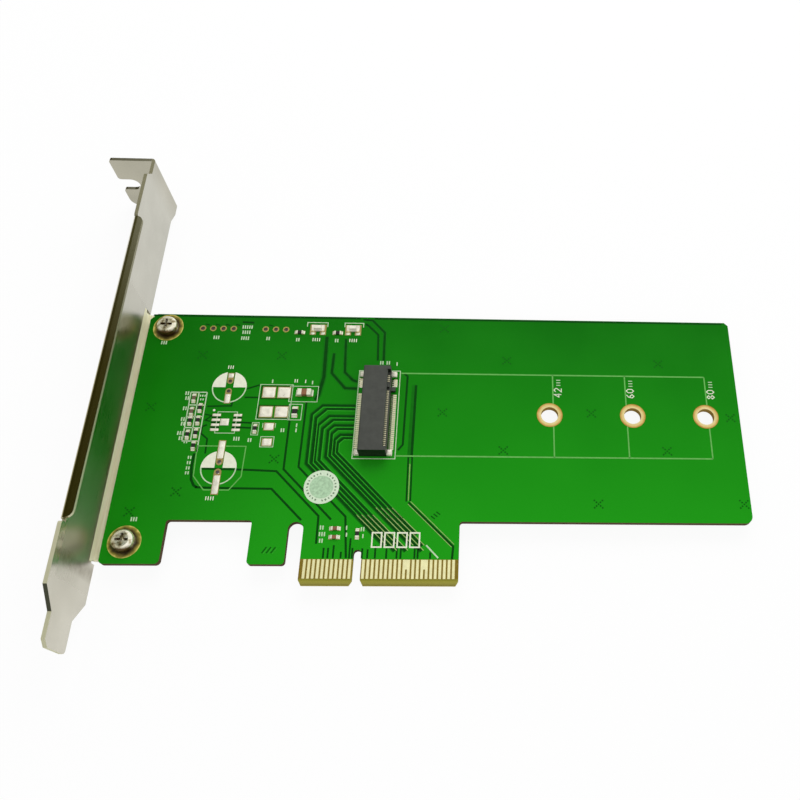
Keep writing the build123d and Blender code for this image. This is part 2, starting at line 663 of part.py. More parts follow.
def other_chips():
    """Every other chip part, by name."""
    parts = {}
    for name, x in LED_X.items():
        parts[name] = led(x, BOARD_TOP - LED_FROM_TOP)
    for name, x in LED_RESISTOR_X.items():
        parts[name] = chip(x, BOARD_TOP - LED_RESISTOR_FROM_TOP, CHIP_0603, True)
    for i, y in enumerate(LANE_CAPACITOR_Y):
        parts[f"lane_capacitor_{i + 1}"] = chip(LANE_CAPACITOR_X, y, CHIP_0603, True)
    parts["lane_resistor"] = chip(*LANE_RESISTOR_XY, CHIP_0603, False)
    parts["sense_resistor"] = chip(*SENSE_RESISTOR_XY, CHIP_0603, False)
    parts["input_capacitor"] = chip(*INPUT_CAPACITOR_XY, CHIP_1206, True)
    parts["input_resistor"] = chip(*INPUT_RESISTOR_XY, CHIP_0805, False)
    return parts


def lands():
    """Lands and eyelets that show because nothing is fitted on them, by name."""
    four, three = header_places()
    jumper_span = JUMPER_LAND[0] + JUMPER_GAP
    return {
        "header_row_of_four": [plated_ring(place, HEADER_HOLE_R, HEADER_PAD_R) for place in four],
        "header_row_of_three": [plated_ring(place, HEADER_HOLE_R, HEADER_PAD_R) for place in three],
        "capacitor_pads_upper": can_lands(CAN_UPPER),
        "capacitor_pads_lower": can_lands(CAN_LOWER),
        "regulator_pads": regulator_lands(),
        "jumper_pads_upper": land_pair(JUMPER_UPPER_XY, jumper_span, JUMPER_LAND, True),
        "jumper_pads_lower": land_pair(JUMPER_LOWER_XY, jumper_span, JUMPER_LAND, True),
        "diode_pads": land_pair(DIODE_XY, DIODE_SPAN, DIODE_LAND, False),
    }


def card():
    """Every sub-part of the card: node name to its solid or its group of solids."""
    parts = {
        "mounting_bracket": mounting_bracket(),
        "bracket_screws": [bracket_screw(x, y) for x, y in screw_places()],
        "circuit_board": circuit_board(),
        "contact_pads_component_side": contact_pads(0, LAND_T, SHORT_PADS_COMPONENT_SIDE, JOINED_PADS),
        "contact_pads_solder_side": contact_pads(-BOARD_T - LAND_T, -BOARD_T, SHORT_PADS_SOLDER_SIDE),
        "socket_housing": socket_housing(),
        "socket_upper_contacts": [upper_contact(y) for y in upper_places()],
        "socket_lower_contacts": [lower_contact(y) for y in lower_places()],
        "socket_hold_down_tabs": hold_down_tabs(),
        "label_sticker": label_sticker(),
    }
    for name, place in zip(("screw_pad_upper", "screw_pad_lower"), screw_places()):
        parts[name] = plated_ring(place, SCREW_HOLE_R, SCREW_PAD_R, lower_ring=False)
    for name, place in standoff_places().items():
        parts[f"standoff_rings_{name}"] = face_rings(place, STANDOFF_HOLE_R, STANDOFF_RING_R)
    parts.update(cluster_chips())
    parts.update(other_chips())
    parts.update(lands())
    return parts


def main():
    os.makedirs("parts", exist_ok=True)
    for name, shape in card().items():
        solids = shape if isinstance(shape, list) else [shape]
        export_step(Compound(children=[s for piece in solids for s in piece.solids()]), f"parts/{name}.step")


main()
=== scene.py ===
import math

import bmesh
import bpy
from mathutils import Matrix, Vector


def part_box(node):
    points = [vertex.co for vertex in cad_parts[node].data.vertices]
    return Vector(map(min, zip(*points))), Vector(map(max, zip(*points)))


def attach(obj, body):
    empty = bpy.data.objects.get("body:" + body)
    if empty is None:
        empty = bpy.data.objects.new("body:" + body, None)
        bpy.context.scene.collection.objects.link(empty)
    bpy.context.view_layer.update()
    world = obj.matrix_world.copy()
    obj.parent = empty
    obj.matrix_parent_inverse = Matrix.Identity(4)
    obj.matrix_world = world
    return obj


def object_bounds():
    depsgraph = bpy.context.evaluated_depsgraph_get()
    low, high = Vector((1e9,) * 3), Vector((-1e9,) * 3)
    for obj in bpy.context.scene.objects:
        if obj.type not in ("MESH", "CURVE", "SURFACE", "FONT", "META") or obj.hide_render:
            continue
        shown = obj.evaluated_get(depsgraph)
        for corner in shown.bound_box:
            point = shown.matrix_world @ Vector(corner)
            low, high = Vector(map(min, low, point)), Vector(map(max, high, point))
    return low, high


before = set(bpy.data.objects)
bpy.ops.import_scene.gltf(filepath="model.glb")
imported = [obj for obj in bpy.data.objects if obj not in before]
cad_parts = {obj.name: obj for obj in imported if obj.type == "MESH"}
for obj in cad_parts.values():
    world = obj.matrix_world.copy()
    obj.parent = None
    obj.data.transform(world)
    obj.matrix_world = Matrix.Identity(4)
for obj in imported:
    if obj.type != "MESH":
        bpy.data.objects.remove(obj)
CAD_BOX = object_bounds()

# The frame is in metres and the sizes below are in millimetres
MM = 0.001
BODY = "root"
BOARD_T = 1.6

# Heights of the layers on the board's face
SHADE_TOP = 0.004
GAP_TOP = 0.008
TRACE_TOP = 0.018
SILK_TOP = 0.03
LAND_TOP = 0.05


def node_box(name):
    """Lowest and highest corner of a CAD node, in millimetres."""
    low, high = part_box(name)
    return low / MM, high / MM


# The fingers, and the stretch of the board's lower edge where the laminate between them is bare
FINGERS_LOW, FINGERS_HIGH = node_box("contact_pads_component_side")
FINGERS_LEFT = FINGERS_LOW.x - 0.8
FINGERS_RIGHT = FINGERS_HIGH.x + 0.8
BARE_TO_Y = FINGERS_HIGH.y + 0.08
BEVEL_TOP_Y = 1.4
FINGER_PITCH = 1.0
FINGER_W = 0.7
JOINED_STEPS = (22, 26)
JOINED_FROM_Y = 3.5

# The box round the three standoff holes
HOLES_X = (40.0, 86.0)
HOLES_Y = (38.0, 44.7)

# Places on the bracket: the lip, the plate's two faces, the fold with its painted light and the area beside
# the board, the painted reflection of the board's lower end in that area, and the slope to the tongue
LIP_FROM_Y, LIP_TO_Y = 9.3, 85.3
LIP_FROM_Z = 16.5
PLATE_OUT_X, PLATE_IN_X = -58.66, -57.8
FOLD_LIGHT_X = (-57.95, -56.4)
FOLD_LIGHT_Y = (4.9, 68.9)
FOLD_LIGHT_Z = (-1.75, 1.45)
BESIDE_BOARD_Y = (-2.0, 69.5)
BESIDE_BOARD_Z = (-2.0, 15.5)
BOARD_END_REFLECTION_LOW_Y = (0.2, 1.6)
BOARD_END_REFLECTION_HIGH_Y = (4.4, 2.8)
SLOPE_Y = (-9.0, -3.9)


# Materials

def srgb(r, g, b):
    """A colour given as 0 to 255 screen values, as the linear colour of a shader."""
    def linear(v):
        v = v / 255
        return v / 12.92 if v <= 0.04045 else ((v + 0.055) / 1.055) ** 2.4
    return (linear(r), linear(g), linear(b), 1.0)


def scaled(color, factor):
    """A colour made lighter or darker."""
    return tuple(min(1.0, v * factor) for v in color[:3]) + (1.0,)


class Nodes:
    """A tree of nodes, with short calls for the ones used here."""

    def __init__(self, tree):
        self.tree = tree

    def node(self, kind, **values):
        made = self.tree.nodes.new(kind)
        for key, value in values.items():
            setattr(made, key, value)
        return made

    def link(self, source, target):
        self.tree.links.new(source, target)

    def fill(self, socket, value):
        """Gives a node's input a number or colour, or links it to another node."""
        if isinstance(value, (int, float, tuple)):
            socket.default_value = value
        else:
            self.link(value, socket)

    def place(self):
        """The point on the part, in metres of the shared frame."""
        return self.node("ShaderNodeTexCoord").outputs["Object"]

    def split(self, source):
        """The three parts of a place or a direction."""
        made = self.node("ShaderNodeSeparateXYZ")
        self.link(source, made.inputs[0])
        return made.outputs

    def axes(self):
        return self.split(self.place())

    def normals(self):
        return self.split(self.node("ShaderNodeNewGeometry").outputs["True Normal"])

    def upright(self):
        """One on faces that stand upright on the board, else zero."""
        return self.math("LESS_THAN", self.math("ABSOLUTE", self.normals()["Z"]), 0.5)

    def above(self, source, limit):
        """One where a place is past a limit in millimetres, else zero."""
        return self.math("GREATER_THAN", source, limit * MM)

    def below(self, source, limit):
        return self.math("LESS_THAN", source, limit * MM)

    def inside(self, source, low, high):
        return self.both(self.above(source, low), self.below(source, high))

    def both(self, *factors):
        """The product of some factors: one where all of them are one."""
        product = factors[0]
        for factor in factors[1:]:
            product = self.math("MULTIPLY", product, factor)
        return product

    def math(self, operation, a, b=None):
        made = self.node("ShaderNodeMath", operation=operation)
        self.fill(made.inputs[0], a)
        if b is not None:
            self.fill(made.inputs[1], b)
        return made.outputs[0]

    def noise(self, scale, detail, stretch=None):
        """Noise of the given scale in cells per millimetre, stretched along the axes if asked."""
        texture = self.node("ShaderNodeTexNoise")
        texture.inputs["Scale"].default_value = scale / MM
        texture.inputs["Detail"].default_value = detail
        where = self.place()
        if stretch:
            mapping = self.node("ShaderNodeMapping")
            mapping.inputs["Scale"].default_value = stretch
            self.link(where, mapping.inputs["Vector"])
            where = mapping.outputs[0]
        self.link(where, texture.inputs["Vector"])
        return texture.outputs["Fac"]

    def ramp(self, source, stops):
        """A colour ramp: (place, colour) pairs."""
        made = self.node("ShaderNodeValToRGB")
        elements = made.color_ramp.elements
        while len(elements) < len(stops):
            elements.new(0.5)
        for element, (place, color) in zip(elements, stops):
            element.position = place
            element.color = color
        self.link(source, made.inputs[0])
        return made.outputs["Color"]

    def span(self, source, low, high, to_low=0.0, to_high=1.0):
        """A value that goes from one number to another while the source goes from low to high."""
        made = self.node("ShaderNodeMapRange")
        made.inputs["From Min"].default_value = low
        made.inputs["From Max"].default_value = high
        made.inputs["To Min"].default_value = to_low
        made.inputs["To Max"].default_value = to_high
        self.link(source, made.inputs["Value"])
        return made.outputs[0]

    def fade(self, source, start, end, to_low=0.0, to_high=1.0):
        """The same for a place, with its limits in millimetres."""
        return self.span(source, start * MM, end * MM, to_low, to_high)

    def mix(self, factor, a, b):
        """The colour a where the factor is zero, b where it is one."""
        made = self.node("ShaderNodeMix", data_type="RGBA")
        self.link(factor, made.inputs[0])
        self.fill(made.inputs[6], a)
        self.fill(made.inputs[7], b)
        return made.outputs[2]

    def blend(self, factor, a, b):
        """The number a where the factor is zero, b where it is one."""
        made = self.node("ShaderNodeMix")
        self.link(factor, made.inputs[0])
        self.fill(made.inputs[2], a)
        self.fill(made.inputs[3], b)
        return made.outputs[0]

    def choice(self, factor, a, b):
        """The surface or light a where the factor is zero, b where it is one."""
        made = self.node("ShaderNodeMixShader")
        for source, target in zip((factor, a, b), made.inputs):
            self.link(source, target)
        return made.outputs[0]


class Shader(Nodes):
    """A material's nodes."""

    def __init__(self, name, color, roughness, metallic=0.0):
        self.material = bpy.data.materials.new(name)
        self.material.use_nodes = True
        super().__init__(self.material.node_tree)
        self.main = self.tree.nodes["Principled BSDF"]
        self.set("Base Color", color)
        self.set("Roughness", roughness)
        self.set("Metallic", metallic)

    def set(self, socket, value):
        """Sets one of the main shader's values, the same all over."""
        self.main.inputs[socket].default_value = value

    def give(self, socket, source):
        """Feeds one of the main shader's values from another node."""
        self.link(source, self.main.inputs[socket])

    def so_far(self, socket):
        """What one of the main shader's inputs gets now."""
        target = self.main.inputs[socket]
        return target.links[0].from_socket if target.is_linked else target.default_value

    def paint_over(self, factor, color, roughness=None, metallic=None):
        """Puts another colour, and finish if given, over the one so far where the factor is one."""
        self.give("Base Color", self.mix(factor, self.so_far("Base Color"), color))
        for socket, value in (("Roughness", roughness), ("Metallic", metallic)):
            if value is not None:
                self.give(socket, self.blend(factor, self.so_far(socket), value))

    def bump(self, height, strength, distance_mm):
        made = self.node("ShaderNodeBump")
        made.inputs["Strength"].default_value = strength
        made.inputs["Distance"].default_value = distance_mm * MM
        self.link(height, made.inputs["Height"])
        self.give("Normal", made.outputs[0])


def metal(name, color, roughness, grain, metallic, bump_mm=0.004):
    """A metal with cloudy gloss and a fine uneven surface."""
    shader = Shader(name, color, roughness, metallic)
    cloud = shader.noise(grain, 4.0)
    shader.give("Roughness", shader.span(cloud, 0.3, 0.7, roughness - 0.04, roughness + 0.08))
    shader.give("Base Color", shader.mix(shader.span(cloud, 0.35, 0.65), scaled(color, 0.86), color))
    shader.bump(shader.noise(grain * 12, 2.0), 0.25, bump_mm)
    return shader


def plated(name, color, roughness, metallic=1.0):
    """Plating round a hole: bright on the face, with a painted shade in dark brown down the barrel."""
    shader = metal(name, color, roughness, grain=1.5, metallic=metallic)
    _, _, z = shader.axes()
    # Painted shade down the barrel, where little light reaches
    barrel = shader.both(shader.upright(), shader.inside(z, -BOARD_T + 0.02, -0.03))
    shader.paint_over(barrel, srgb(66, 36, 10), metallic=0.2)
    return shader


def plastic(name, color, roughness, grain=4.0, change=0.15, shine=0.3):
    """A moulded, printed or coated surface with a fine grain."""
    shader = Shader(name, color, roughness)
    shader.set("Specular IOR Level", shine)
    cloud = shader.noise(grain * 0.2, 4.0)
    tone = shader.mix(shader.span(cloud, 0.3, 0.7), scaled(color, 1 - change), scaled(color, 1 + change))
    shader.give("Base Color", tone)
    shader.give("Roughness", shader.span(cloud, 0.3, 0.7, roughness - 0.05, roughness + 0.08))
    shader.bump(shader.noise(grain, 3.0), 0.3, 0.01)
    return shader


def board_shader():
    """Green mask on both faces, bare laminate at the fingers, layered glass cloth at the edges."""
    shader = Shader("solder_mask", srgb(16, 122, 10), 0.3)
    x, y, _ = shader.axes()

    # Painted light: a sheen that makes the mask lighter low down and darker to the left
    base = shader.mix(shader.fade(y, 66, 8), srgb(6, 104, 3), srgb(27, 149, 18))
    base = shader.mix(shader.fade(x, -18, -44, 0.0, 0.36), base, srgb(8, 92, 6))
    cloud = shader.span(shader.noise(0.05, 2.0), 0.3, 0.7, 0.0, 0.12)
    base = shader.mix(cloud, base, srgb(38, 160, 26))
    speck = shader.span(shader.noise(2.5, 3.0), 0.6, 1.0, 0.0, 0.5)
    base = shader.mix(speck, base, srgb(30, 150, 24))

    # Bare laminate between the fingers and on the bevel below them
    streak = shader.span(shader.noise(3.0, 3.0, stretch=(3.0, 0.4, 1.0)), 0.3, 0.7)
    between = shader.mix(streak, srgb(104, 86, 22), srgb(140, 120, 46))
    bevel = shader.ramp(shader.fade(y, 0.0, BEVEL_TOP_Y), [
        (0.0, srgb(122, 112, 56)), (0.3, srgb(148, 142, 64)), (0.62, srgb(152, 147, 60)),
        (0.8, srgb(136, 132, 46)), (1.0, srgb(138, 132, 52))])
    laminate = shader.mix(shader.below(y, BEVEL_TOP_Y - 0.03), between, bevel)
    bare = shader.inside(x, FINGERS_LEFT - 0.1, FINGERS_RIGHT + 0.1)
    bare = shader.both(bare, shader.below(y, BARE_TO_Y))
    base = shader.mix(bare, base, laminate)

    # Cut edges: brown layers, golden beside the fingers and in the standoff holes
    layers = shader.noise(4.0, 2.0, stretch=(0.15, 0.15, 3.0))
    edge = shader.mix(shader.span(layers, 0.35, 0.65), srgb(66, 50, 36), srgb(98, 78, 54))
    edge = shader.mix(bare, edge, srgb(178, 166, 78))
    hole_wall = shader.both(shader.inside(x, *HOLES_X), shader.inside(y, *HOLES_Y))
    edge = shader.mix(hole_wall, edge, srgb(178, 146, 76))
    side = shader.upright()
    base = shader.mix(side, base, edge)

    shader.give("Base Color", base)
    shader.give("Roughness", shader.span(side, 0.0, 1.0, 0.27, 0.75))
    shader.set("Specular IOR Level", 0.06)
    shader.bump(shader.noise(1.2, 3.0), 0.12, 0.02)
    return shader


def finger_shader():
    """Gold fingers, cream in the middle, with a painted shade in brown towards their long edges."""
    shader = metal("finger_gold", srgb(248, 244, 188), 0.26, grain=1.0, metallic=0.6)
    x, y, _ = shader.axes()
    steps = shader.math("DIVIDE", shader.math("SUBTRACT", x, FINGERS_LOW.x * MM), FINGER_PITCH * MM)
    place = shader.math("FRACT", steps)
    away = shader.math("ABSOLUTE", shader.math("SUBTRACT", place, FINGER_W / 2 / FINGER_PITCH))
    apart = None
    for step in JOINED_STEPS:
        left = FINGERS_LOW.x + step * FINGER_PITCH
        here = shader.inside(x, left + 0.1, left + FINGER_PITCH + FINGER_W - 0.1)
        apart = here if apart is None else shader.math("ADD", apart, here)
    joined = shader.both(apart, shader.above(y, JOINED_FROM_Y))
    away = shader.blend(joined, away, 0.0)
    # Painted shade towards each finger's long edges, left out over the webs of joined fingers
    shader.paint_over(shader.span(away, 0.2, 0.36), srgb(186, 164, 84))
    return shader


def contact_shader():
    """Gold flashed contacts, in shade where their tails leave the housing."""
    shader = metal("contact_strip", srgb(236, 230, 192), 0.3, grain=3.0, metallic=0.7)
    x, _, z = shader.axes()
    shade = shader.both(shader.inside(x, 4.9, 5.6), shader.below(z, 0.9))
    shader.paint_over(shade, srgb(58, 66, 30))
    return shader


def housing_shader():
    """Dark moulded polymer, with a painted shade near black on the end that faces the fingers."""
    shader = plastic("socket_polymer", srgb(66, 68, 63), 0.45, grain=3.0)
    # Painted shade: the end that faces down the board, away from the key lamp, is made near black
    end = shader.span(shader.normals()["Y"], -0.4, -0.8)
    shader.paint_over(end, srgb(15, 22, 15))
    return shader


def bracket_shader():
    """Bright zinc plated sheet: faint rolling lines, a cloudy gloss, painted light on the fold, a painted
    reflection on the lip and one of the board's lower end, and dull sheared edges.
    """
    shader = Shader("bracket_steel", srgb(203, 199, 183), 0.24, 1.0)
    x, y, z = shader.axes()
    facing = shader.normals()
    lines = shader.noise(1.5, 3.0, stretch=(6.0, 0.12, 6.0))
    cloud = shader.noise(0.08, 3.0)

    # The sheet, a little duller on the side that faces the board
    cloudy = shader.span(cloud, 0.3, 0.7)
    tongue = shader.mix(cloudy, srgb(190, 186, 170), srgb(206, 202, 187))
    plate = shader.mix(cloudy, srgb(181, 179, 166), srgb(196, 194, 181))
    tab = shader.mix(cloudy, srgb(168, 165, 148), srgb(184, 180, 163))
    base = shader.mix(shader.fade(y, 0, 60), tongue, plate)
    base = shader.mix(shader.fade(y, 98, 104), base, tab)
    rolled = shader.span(lines, 0.3, 0.7, 0.0, 0.06)
    rough = shader.math("ADD", rolled, shader.span(cloud, 0.3, 0.7, 0.15, 0.2))
    board_side = shader.above(x, (PLATE_OUT_X + PLATE_IN_X) / 2)
    beside_board = shader.both(
        board_side, shader.inside(y, *BESIDE_BOARD_Y), shader.inside(z, *BESIDE_BOARD_Z))
    shader.give("Base Color", base)
    shader.give("Roughness", shader.math("ADD", rough, shader.math("MULTIPLY", beside_board, 0.1)))
    shader.give("Metallic", shader.fade(y, 4, 30, 0.8, 1.0))

    # The lip along the outer edge, with a painted dark reflection in olive low down that fades into the
    # sheet's colour higher up
    lip = shader.both(shader.inside(y, LIP_FROM_Y, LIP_TO_Y), shader.above(z, LIP_FROM_Z))
    lip_reflection_color = shader.mix(shader.fade(y, 45, 80), srgb(142, 134, 84), srgb(206, 202, 186))
    shader.paint_over(lip, lip_reflection_color, 0.1, 1.0)

    # A painted reflection of the board's lower end, patchy and brown, across the side that faces the board
    board_end_reflection = shader.both(shader.fade(y, *BOARD_END_REFLECTION_LOW_Y), shader.fade(y, *BOARD_END_REFLECTION_HIGH_Y), beside_board)
    patchy = shader.span(shader.noise(0.5, 3.0), 0.3, 0.7, 0.2, 0.6)
    shader.paint_over(shader.both(board_end_reflection, patchy), srgb(104, 92, 62))

    # Painted light on the fold beside the board and the plate just above it, pale and dull
    fold_light = shader.both(shader.inside(y, *FOLD_LIGHT_Y), shader.inside(z, *FOLD_LIGHT_Z), shader.inside(x, *FOLD_LIGHT_X))
    fold_light_color = shader.mix(shader.span(lines, 0.35, 0.65), srgb(240, 234, 188), srgb(255, 255, 222))
    shader.paint_over(fold_light, fold_light_color, 0.5, 0.0)

    # Sheared edges, darker up the bracket and darkest on the slope to the tongue
    side_on = shader.math("LESS_THAN", shader.math("ABSOLUTE", facing["X"]), 0.3)
    in_sheet = shader.inside(x, PLATE_OUT_X - 0.05, PLATE_IN_X + 0.05)
    sheared = shader.both(side_on, in_sheet, shader.math("SUBTRACT", 1.0, lip))
    lip_end = shader.both(lip, shader.math("GREATER_THAN", facing["X"], 0.5))
    sheared = shader.math("MAXIMUM", sheared, lip_end)
    color = shader.mix(shader.fade(y, 20, 60, 1.0, 0.0), srgb(140, 136, 108), srgb(206, 204, 172))
    slope = shader.both(shader.inside(y, *SLOPE_Y), shader.math("LESS_THAN", facing["Y"], -0.5))
    color = shader.mix(slope, color, srgb(70, 72, 54))
    shader.paint_over(sheared, color, 0.55, 0.5)
    shader.bump(lines, 0.15, 0.004)
    return shader


def screw_shader():
    """Bright nickel that shows white and brown patches, with a painted shade in brown on the sides that face
    down the board.
    """
    shader = Shader("screw_nickel", srgb(214, 208, 188), 0.16, 0.75)
    color = shader.ramp(shader.noise(0.9, 3.0), [
        (0.3, srgb(118, 100, 60)), (0.44, srgb(196, 188, 156)),
        (0.52, srgb(240, 236, 212)), (0.7, srgb(255, 252, 236))])
    # Painted shade: the sides that face down the board, away from the key lamp
    down = shader.span(shader.normals()["Y"], -0.25, -0.7)
    shader.give("Base Color", shader.mix(down, color, srgb(84, 62, 28)))
    shader.bump(shader.noise(6.0, 2.0), 0.3, 0.02)
    return shader


def distance_from(shader, names):
    """How far a point is from the nearest middle of some nodes on the board's face, in metres."""
    place = shader.place()
    near = None
    for name in names:
        low, high = node_box(name)
        apart = shader.node("ShaderNodeVectorMath", operation="DISTANCE")
        shader.link(place, apart.inputs[0])
        middle = ((low.x + high.x) / 2 * MM, (low.y + high.y) / 2 * MM, LAND_TOP * MM)
        apart.inputs[1].default_value = middle
        distance = apart.outputs["Value"]
        near = distance if near is None else shader.math("MINIMUM", near, distance)
    return near


def ringed_shader(shader, names, sway_scale, sway_mm, inner_r, outer_r, stops):
    """Colours that change outwards from the middles of some nodes, along slightly wavy rings."""
    near = distance_from(shader, names)
    sway = shader.span(shader.noise(sway_scale, 2.0), 0.3, 0.7, -sway_mm * MM, sway_mm * MM)
    away = shader.fade(shader.math("ADD", near, sway), inner_r, outer_r)
    shader.give("Base Color", shader.ramp(away, stops))
    return shader


def standoff_ring_shader():
    """Pale gold rings, orange brown at the rim."""
    shader = Shader("standoff_gold", srgb(232, 214, 158), 0.3, 0.8)
    names = ("standoff_rings_42", "standoff_rings_60", "standoff_rings_80")
    return ringed_shader(shader, names, 0.6, 0.12, 2.1, 3.2, [
        (0.0, srgb(232, 214, 156)), (0.45, srgb(222, 198, 128)),
        (0.75, srgb(204, 166, 90)), (1.0, srgb(176, 118, 50))])


def screw_pad_shader():
    """Old gold under the screws: a painted shadow in brown by the head, olive further out, bright at the
    rim.
    """
    shader = Shader("screw_pad_gold", srgb(150, 140, 70), 0.4, 0.5)
    # Painted shadow: the dark brown stops next to the head
    return ringed_shader(shader, ("screw_pad_upper", "screw_pad_lower"), 0.7, 0.25, 2.4, 3.75, [
        (0.0, srgb(46, 38, 10)), (0.25, srgb(70, 58, 18)), (0.5, srgb(112, 104, 44)),
        (0.8, srgb(170, 156, 66)), (1.0, srgb(236, 222, 122))])


SHADERS = {
    "board": board_shader(),
    "bracket": bracket_shader(),
    "screw": screw_shader(),
    "finger_gold": finger_shader(),
    "ring_gold": plated("ring_gold", srgb(236, 222, 170), 0.3),
    "ring_olive": plated("ring_olive", srgb(206, 188, 112), 0.35),
    "land_gold": plated("land_gold", srgb(176, 158, 96), 0.35, metallic=0.6),
    "screw_pad": screw_pad_shader(),
    "standoff_gold": standoff_ring_shader(),
    "tin": metal("tinned_copper", srgb(236, 238, 214), 0.3, grain=1.6, bump_mm=0.01, metallic=0.4),
    "solder": metal("solder", srgb(244, 240, 222), 0.3, grain=1.0, bump_mm=0.012, metallic=0.3),
    "contact": contact_shader(),
    "housing": housing_shader(),
    "capacitor_grey": plastic("capacitor_ceramic_grey", srgb(104, 90, 70), 0.55),
    "capacitor": plastic("capacitor_ceramic", srgb(134, 92, 66), 0.55),
    "resistor": plastic("resistor_glaze", srgb(34, 32, 28), 0.35),
    "led": plastic("led_white", srgb(226, 222, 204), 0.4),
    "label": plastic("label_paper", srgb(206, 224, 196), 0.55, change=0.05),
    "label_green": plastic("label_ink_green", srgb(168, 200, 164), 0.55, grain=8.0, change=0.2),
    "label_grey": plastic("label_ink_grey", srgb(116, 136, 112), 0.55, change=0.2),
    "silk": plastic("silk_ink", srgb(226, 228, 206), 0.6, grain=5.0, change=0.06),
    "silk_thin": plastic("silk_ink_green", srgb(186, 210, 172), 0.6, grain=5.0, change=0.12),
    "silk_faint": plastic("silk_ink_thin", srgb(100, 172, 82), 0.6, grain=5.0, change=0.1),
    "trace": plastic("mask_over_copper", srgb(40, 156, 30), 0.3, change=0.08, shine=0.1),
    # Pale lines: painted highlights on the tracks' edges
    "track_highlight": plastic("painted_track_highlight", srgb(150, 176, 104), 0.35, change=0.15, shine=0.1),
    "gap": plastic("mask_over_laminate", srgb(3, 66, 8), 0.32, change=0.12, shine=0.06),
    "shade": plastic("mask_shade", srgb(14, 106, 12), 0.32, change=0.1, shine=0.06),
    "via": plastic("mask_over_hole", srgb(7, 86, 9), 0.32, change=0.12, shine=0.06),
}

# The finish of each CAD node, by how its name starts: the first line that fits is used
FINISHES = (
    ("mounting_bracket", "bracket"),
    ("bracket_screws", "screw"),
    ("circuit_board", "board"),
    ("contact_pads", "finger_gold"),
    ("screw_pad", "screw_pad"),
    ("standoff_ring", "standoff_gold"),
    ("header_row", "ring_olive"),
    (("capacitor_pads", "regulator_pads", "jumper_pads", "diode_pads"), "land_gold"),
    ("socket_hold", "tin"),
    ("socket_housing", "housing"),
    ("socket_", "contact"),
    (("led_resistor", "divider_", "sense_", "input_resistor", "lane_resistor"), "resistor"),
    ("led", "led"),
    ("label_sticker", "label"),
    ("filter_capacitor", "capacitor_grey"),
    (("input_capacitor", "lane_capacitor"), "capacitor"),
)


def dress_nodes():
    """Gives every CAD node its finish."""
    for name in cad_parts:
        finish = next(finish for start, finish in FINISHES if name.startswith(start))
        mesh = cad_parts[name].data
        mesh.materials.clear()
        mesh.materials.append(SHADERS[finish].material)


def add_object(name, data):
    made = bpy.data.objects.new(name, data)
    bpy.context.scene.collection.objects.link(made)
    return made


# Flat work on the board's face, and the solder and end caps of the small parts

def on_circle(x, y, r, turns):
    """Points on a circle, at some turns in degrees."""
    return [(x + r * math.cos(math.radians(t)), y + r * math.sin(math.radians(t))) for t in turns]


class Piece:
    """Collects shapes given in millimetres into one mesh that rides on the part."""

    BLOCK_EDGE = 0.04

    def __init__(self, name, finish, slot):
        self.name = name
        self.finish = finish
        self.slot = slot
        self.mesh = bmesh.new()

    def corner(self, x, y, z):
        return self.mesh.verts.new(Vector((x, y, z)) * MM)

    def face(self, points):
        self.mesh.faces.new([self.corner(*p) for p in points])

    def prism(self, points, bottom, top):
        """An upright prism over a flat outline, open below."""
        low = [self.corner(x, y, bottom) for x, y in points]
        high = [self.corner(x, y, top) for x, y in points]
        self.mesh.faces.new(high)
        count = len(points)
        for i in range(count):
            j = (i + 1) % count
            self.mesh.faces.new((low[i], low[j], high[j], high[i]))

    def block(self, low, high):
        """A box with rounded edges."""
        (x0, y0, z0), (x1, y1, z1) = low, high
        made = bmesh.ops.create_cube(self.mesh, size=1.0)
        size = Vector((x1 - x0, y1 - y0, z1 - z0)) * MM
        middle = Vector(((x0 + x1) / 2, (y0 + y1) / 2, (z0 + z1) / 2)) * MM
        bmesh.ops.scale(self.mesh, vec=size, verts=made["verts"])
        bmesh.ops.translate(self.mesh, vec=middle, verts=made["verts"])
        edges = list({e for v in made["verts"] for e in v.link_edges})
        bmesh.ops.bevel(
            self.mesh, geom=edges, offset=self.BLOCK_EDGE * MM, segments=2, affect="EDGES", profile=0.5)

    def done(self, smooth=False):
        bmesh.ops.recalc_face_normals(self.mesh, faces=self.mesh.faces)
        data = bpy.data.meshes.new(self.name)
        self.mesh.to_mesh(data)
        self.mesh.free()
        data.materials.append(SHADERS[self.finish].material)
        for polygon in data.polygons:
            polygon.use_smooth = smooth
        piece = add_object(self.name, data)
        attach(piece, BODY)


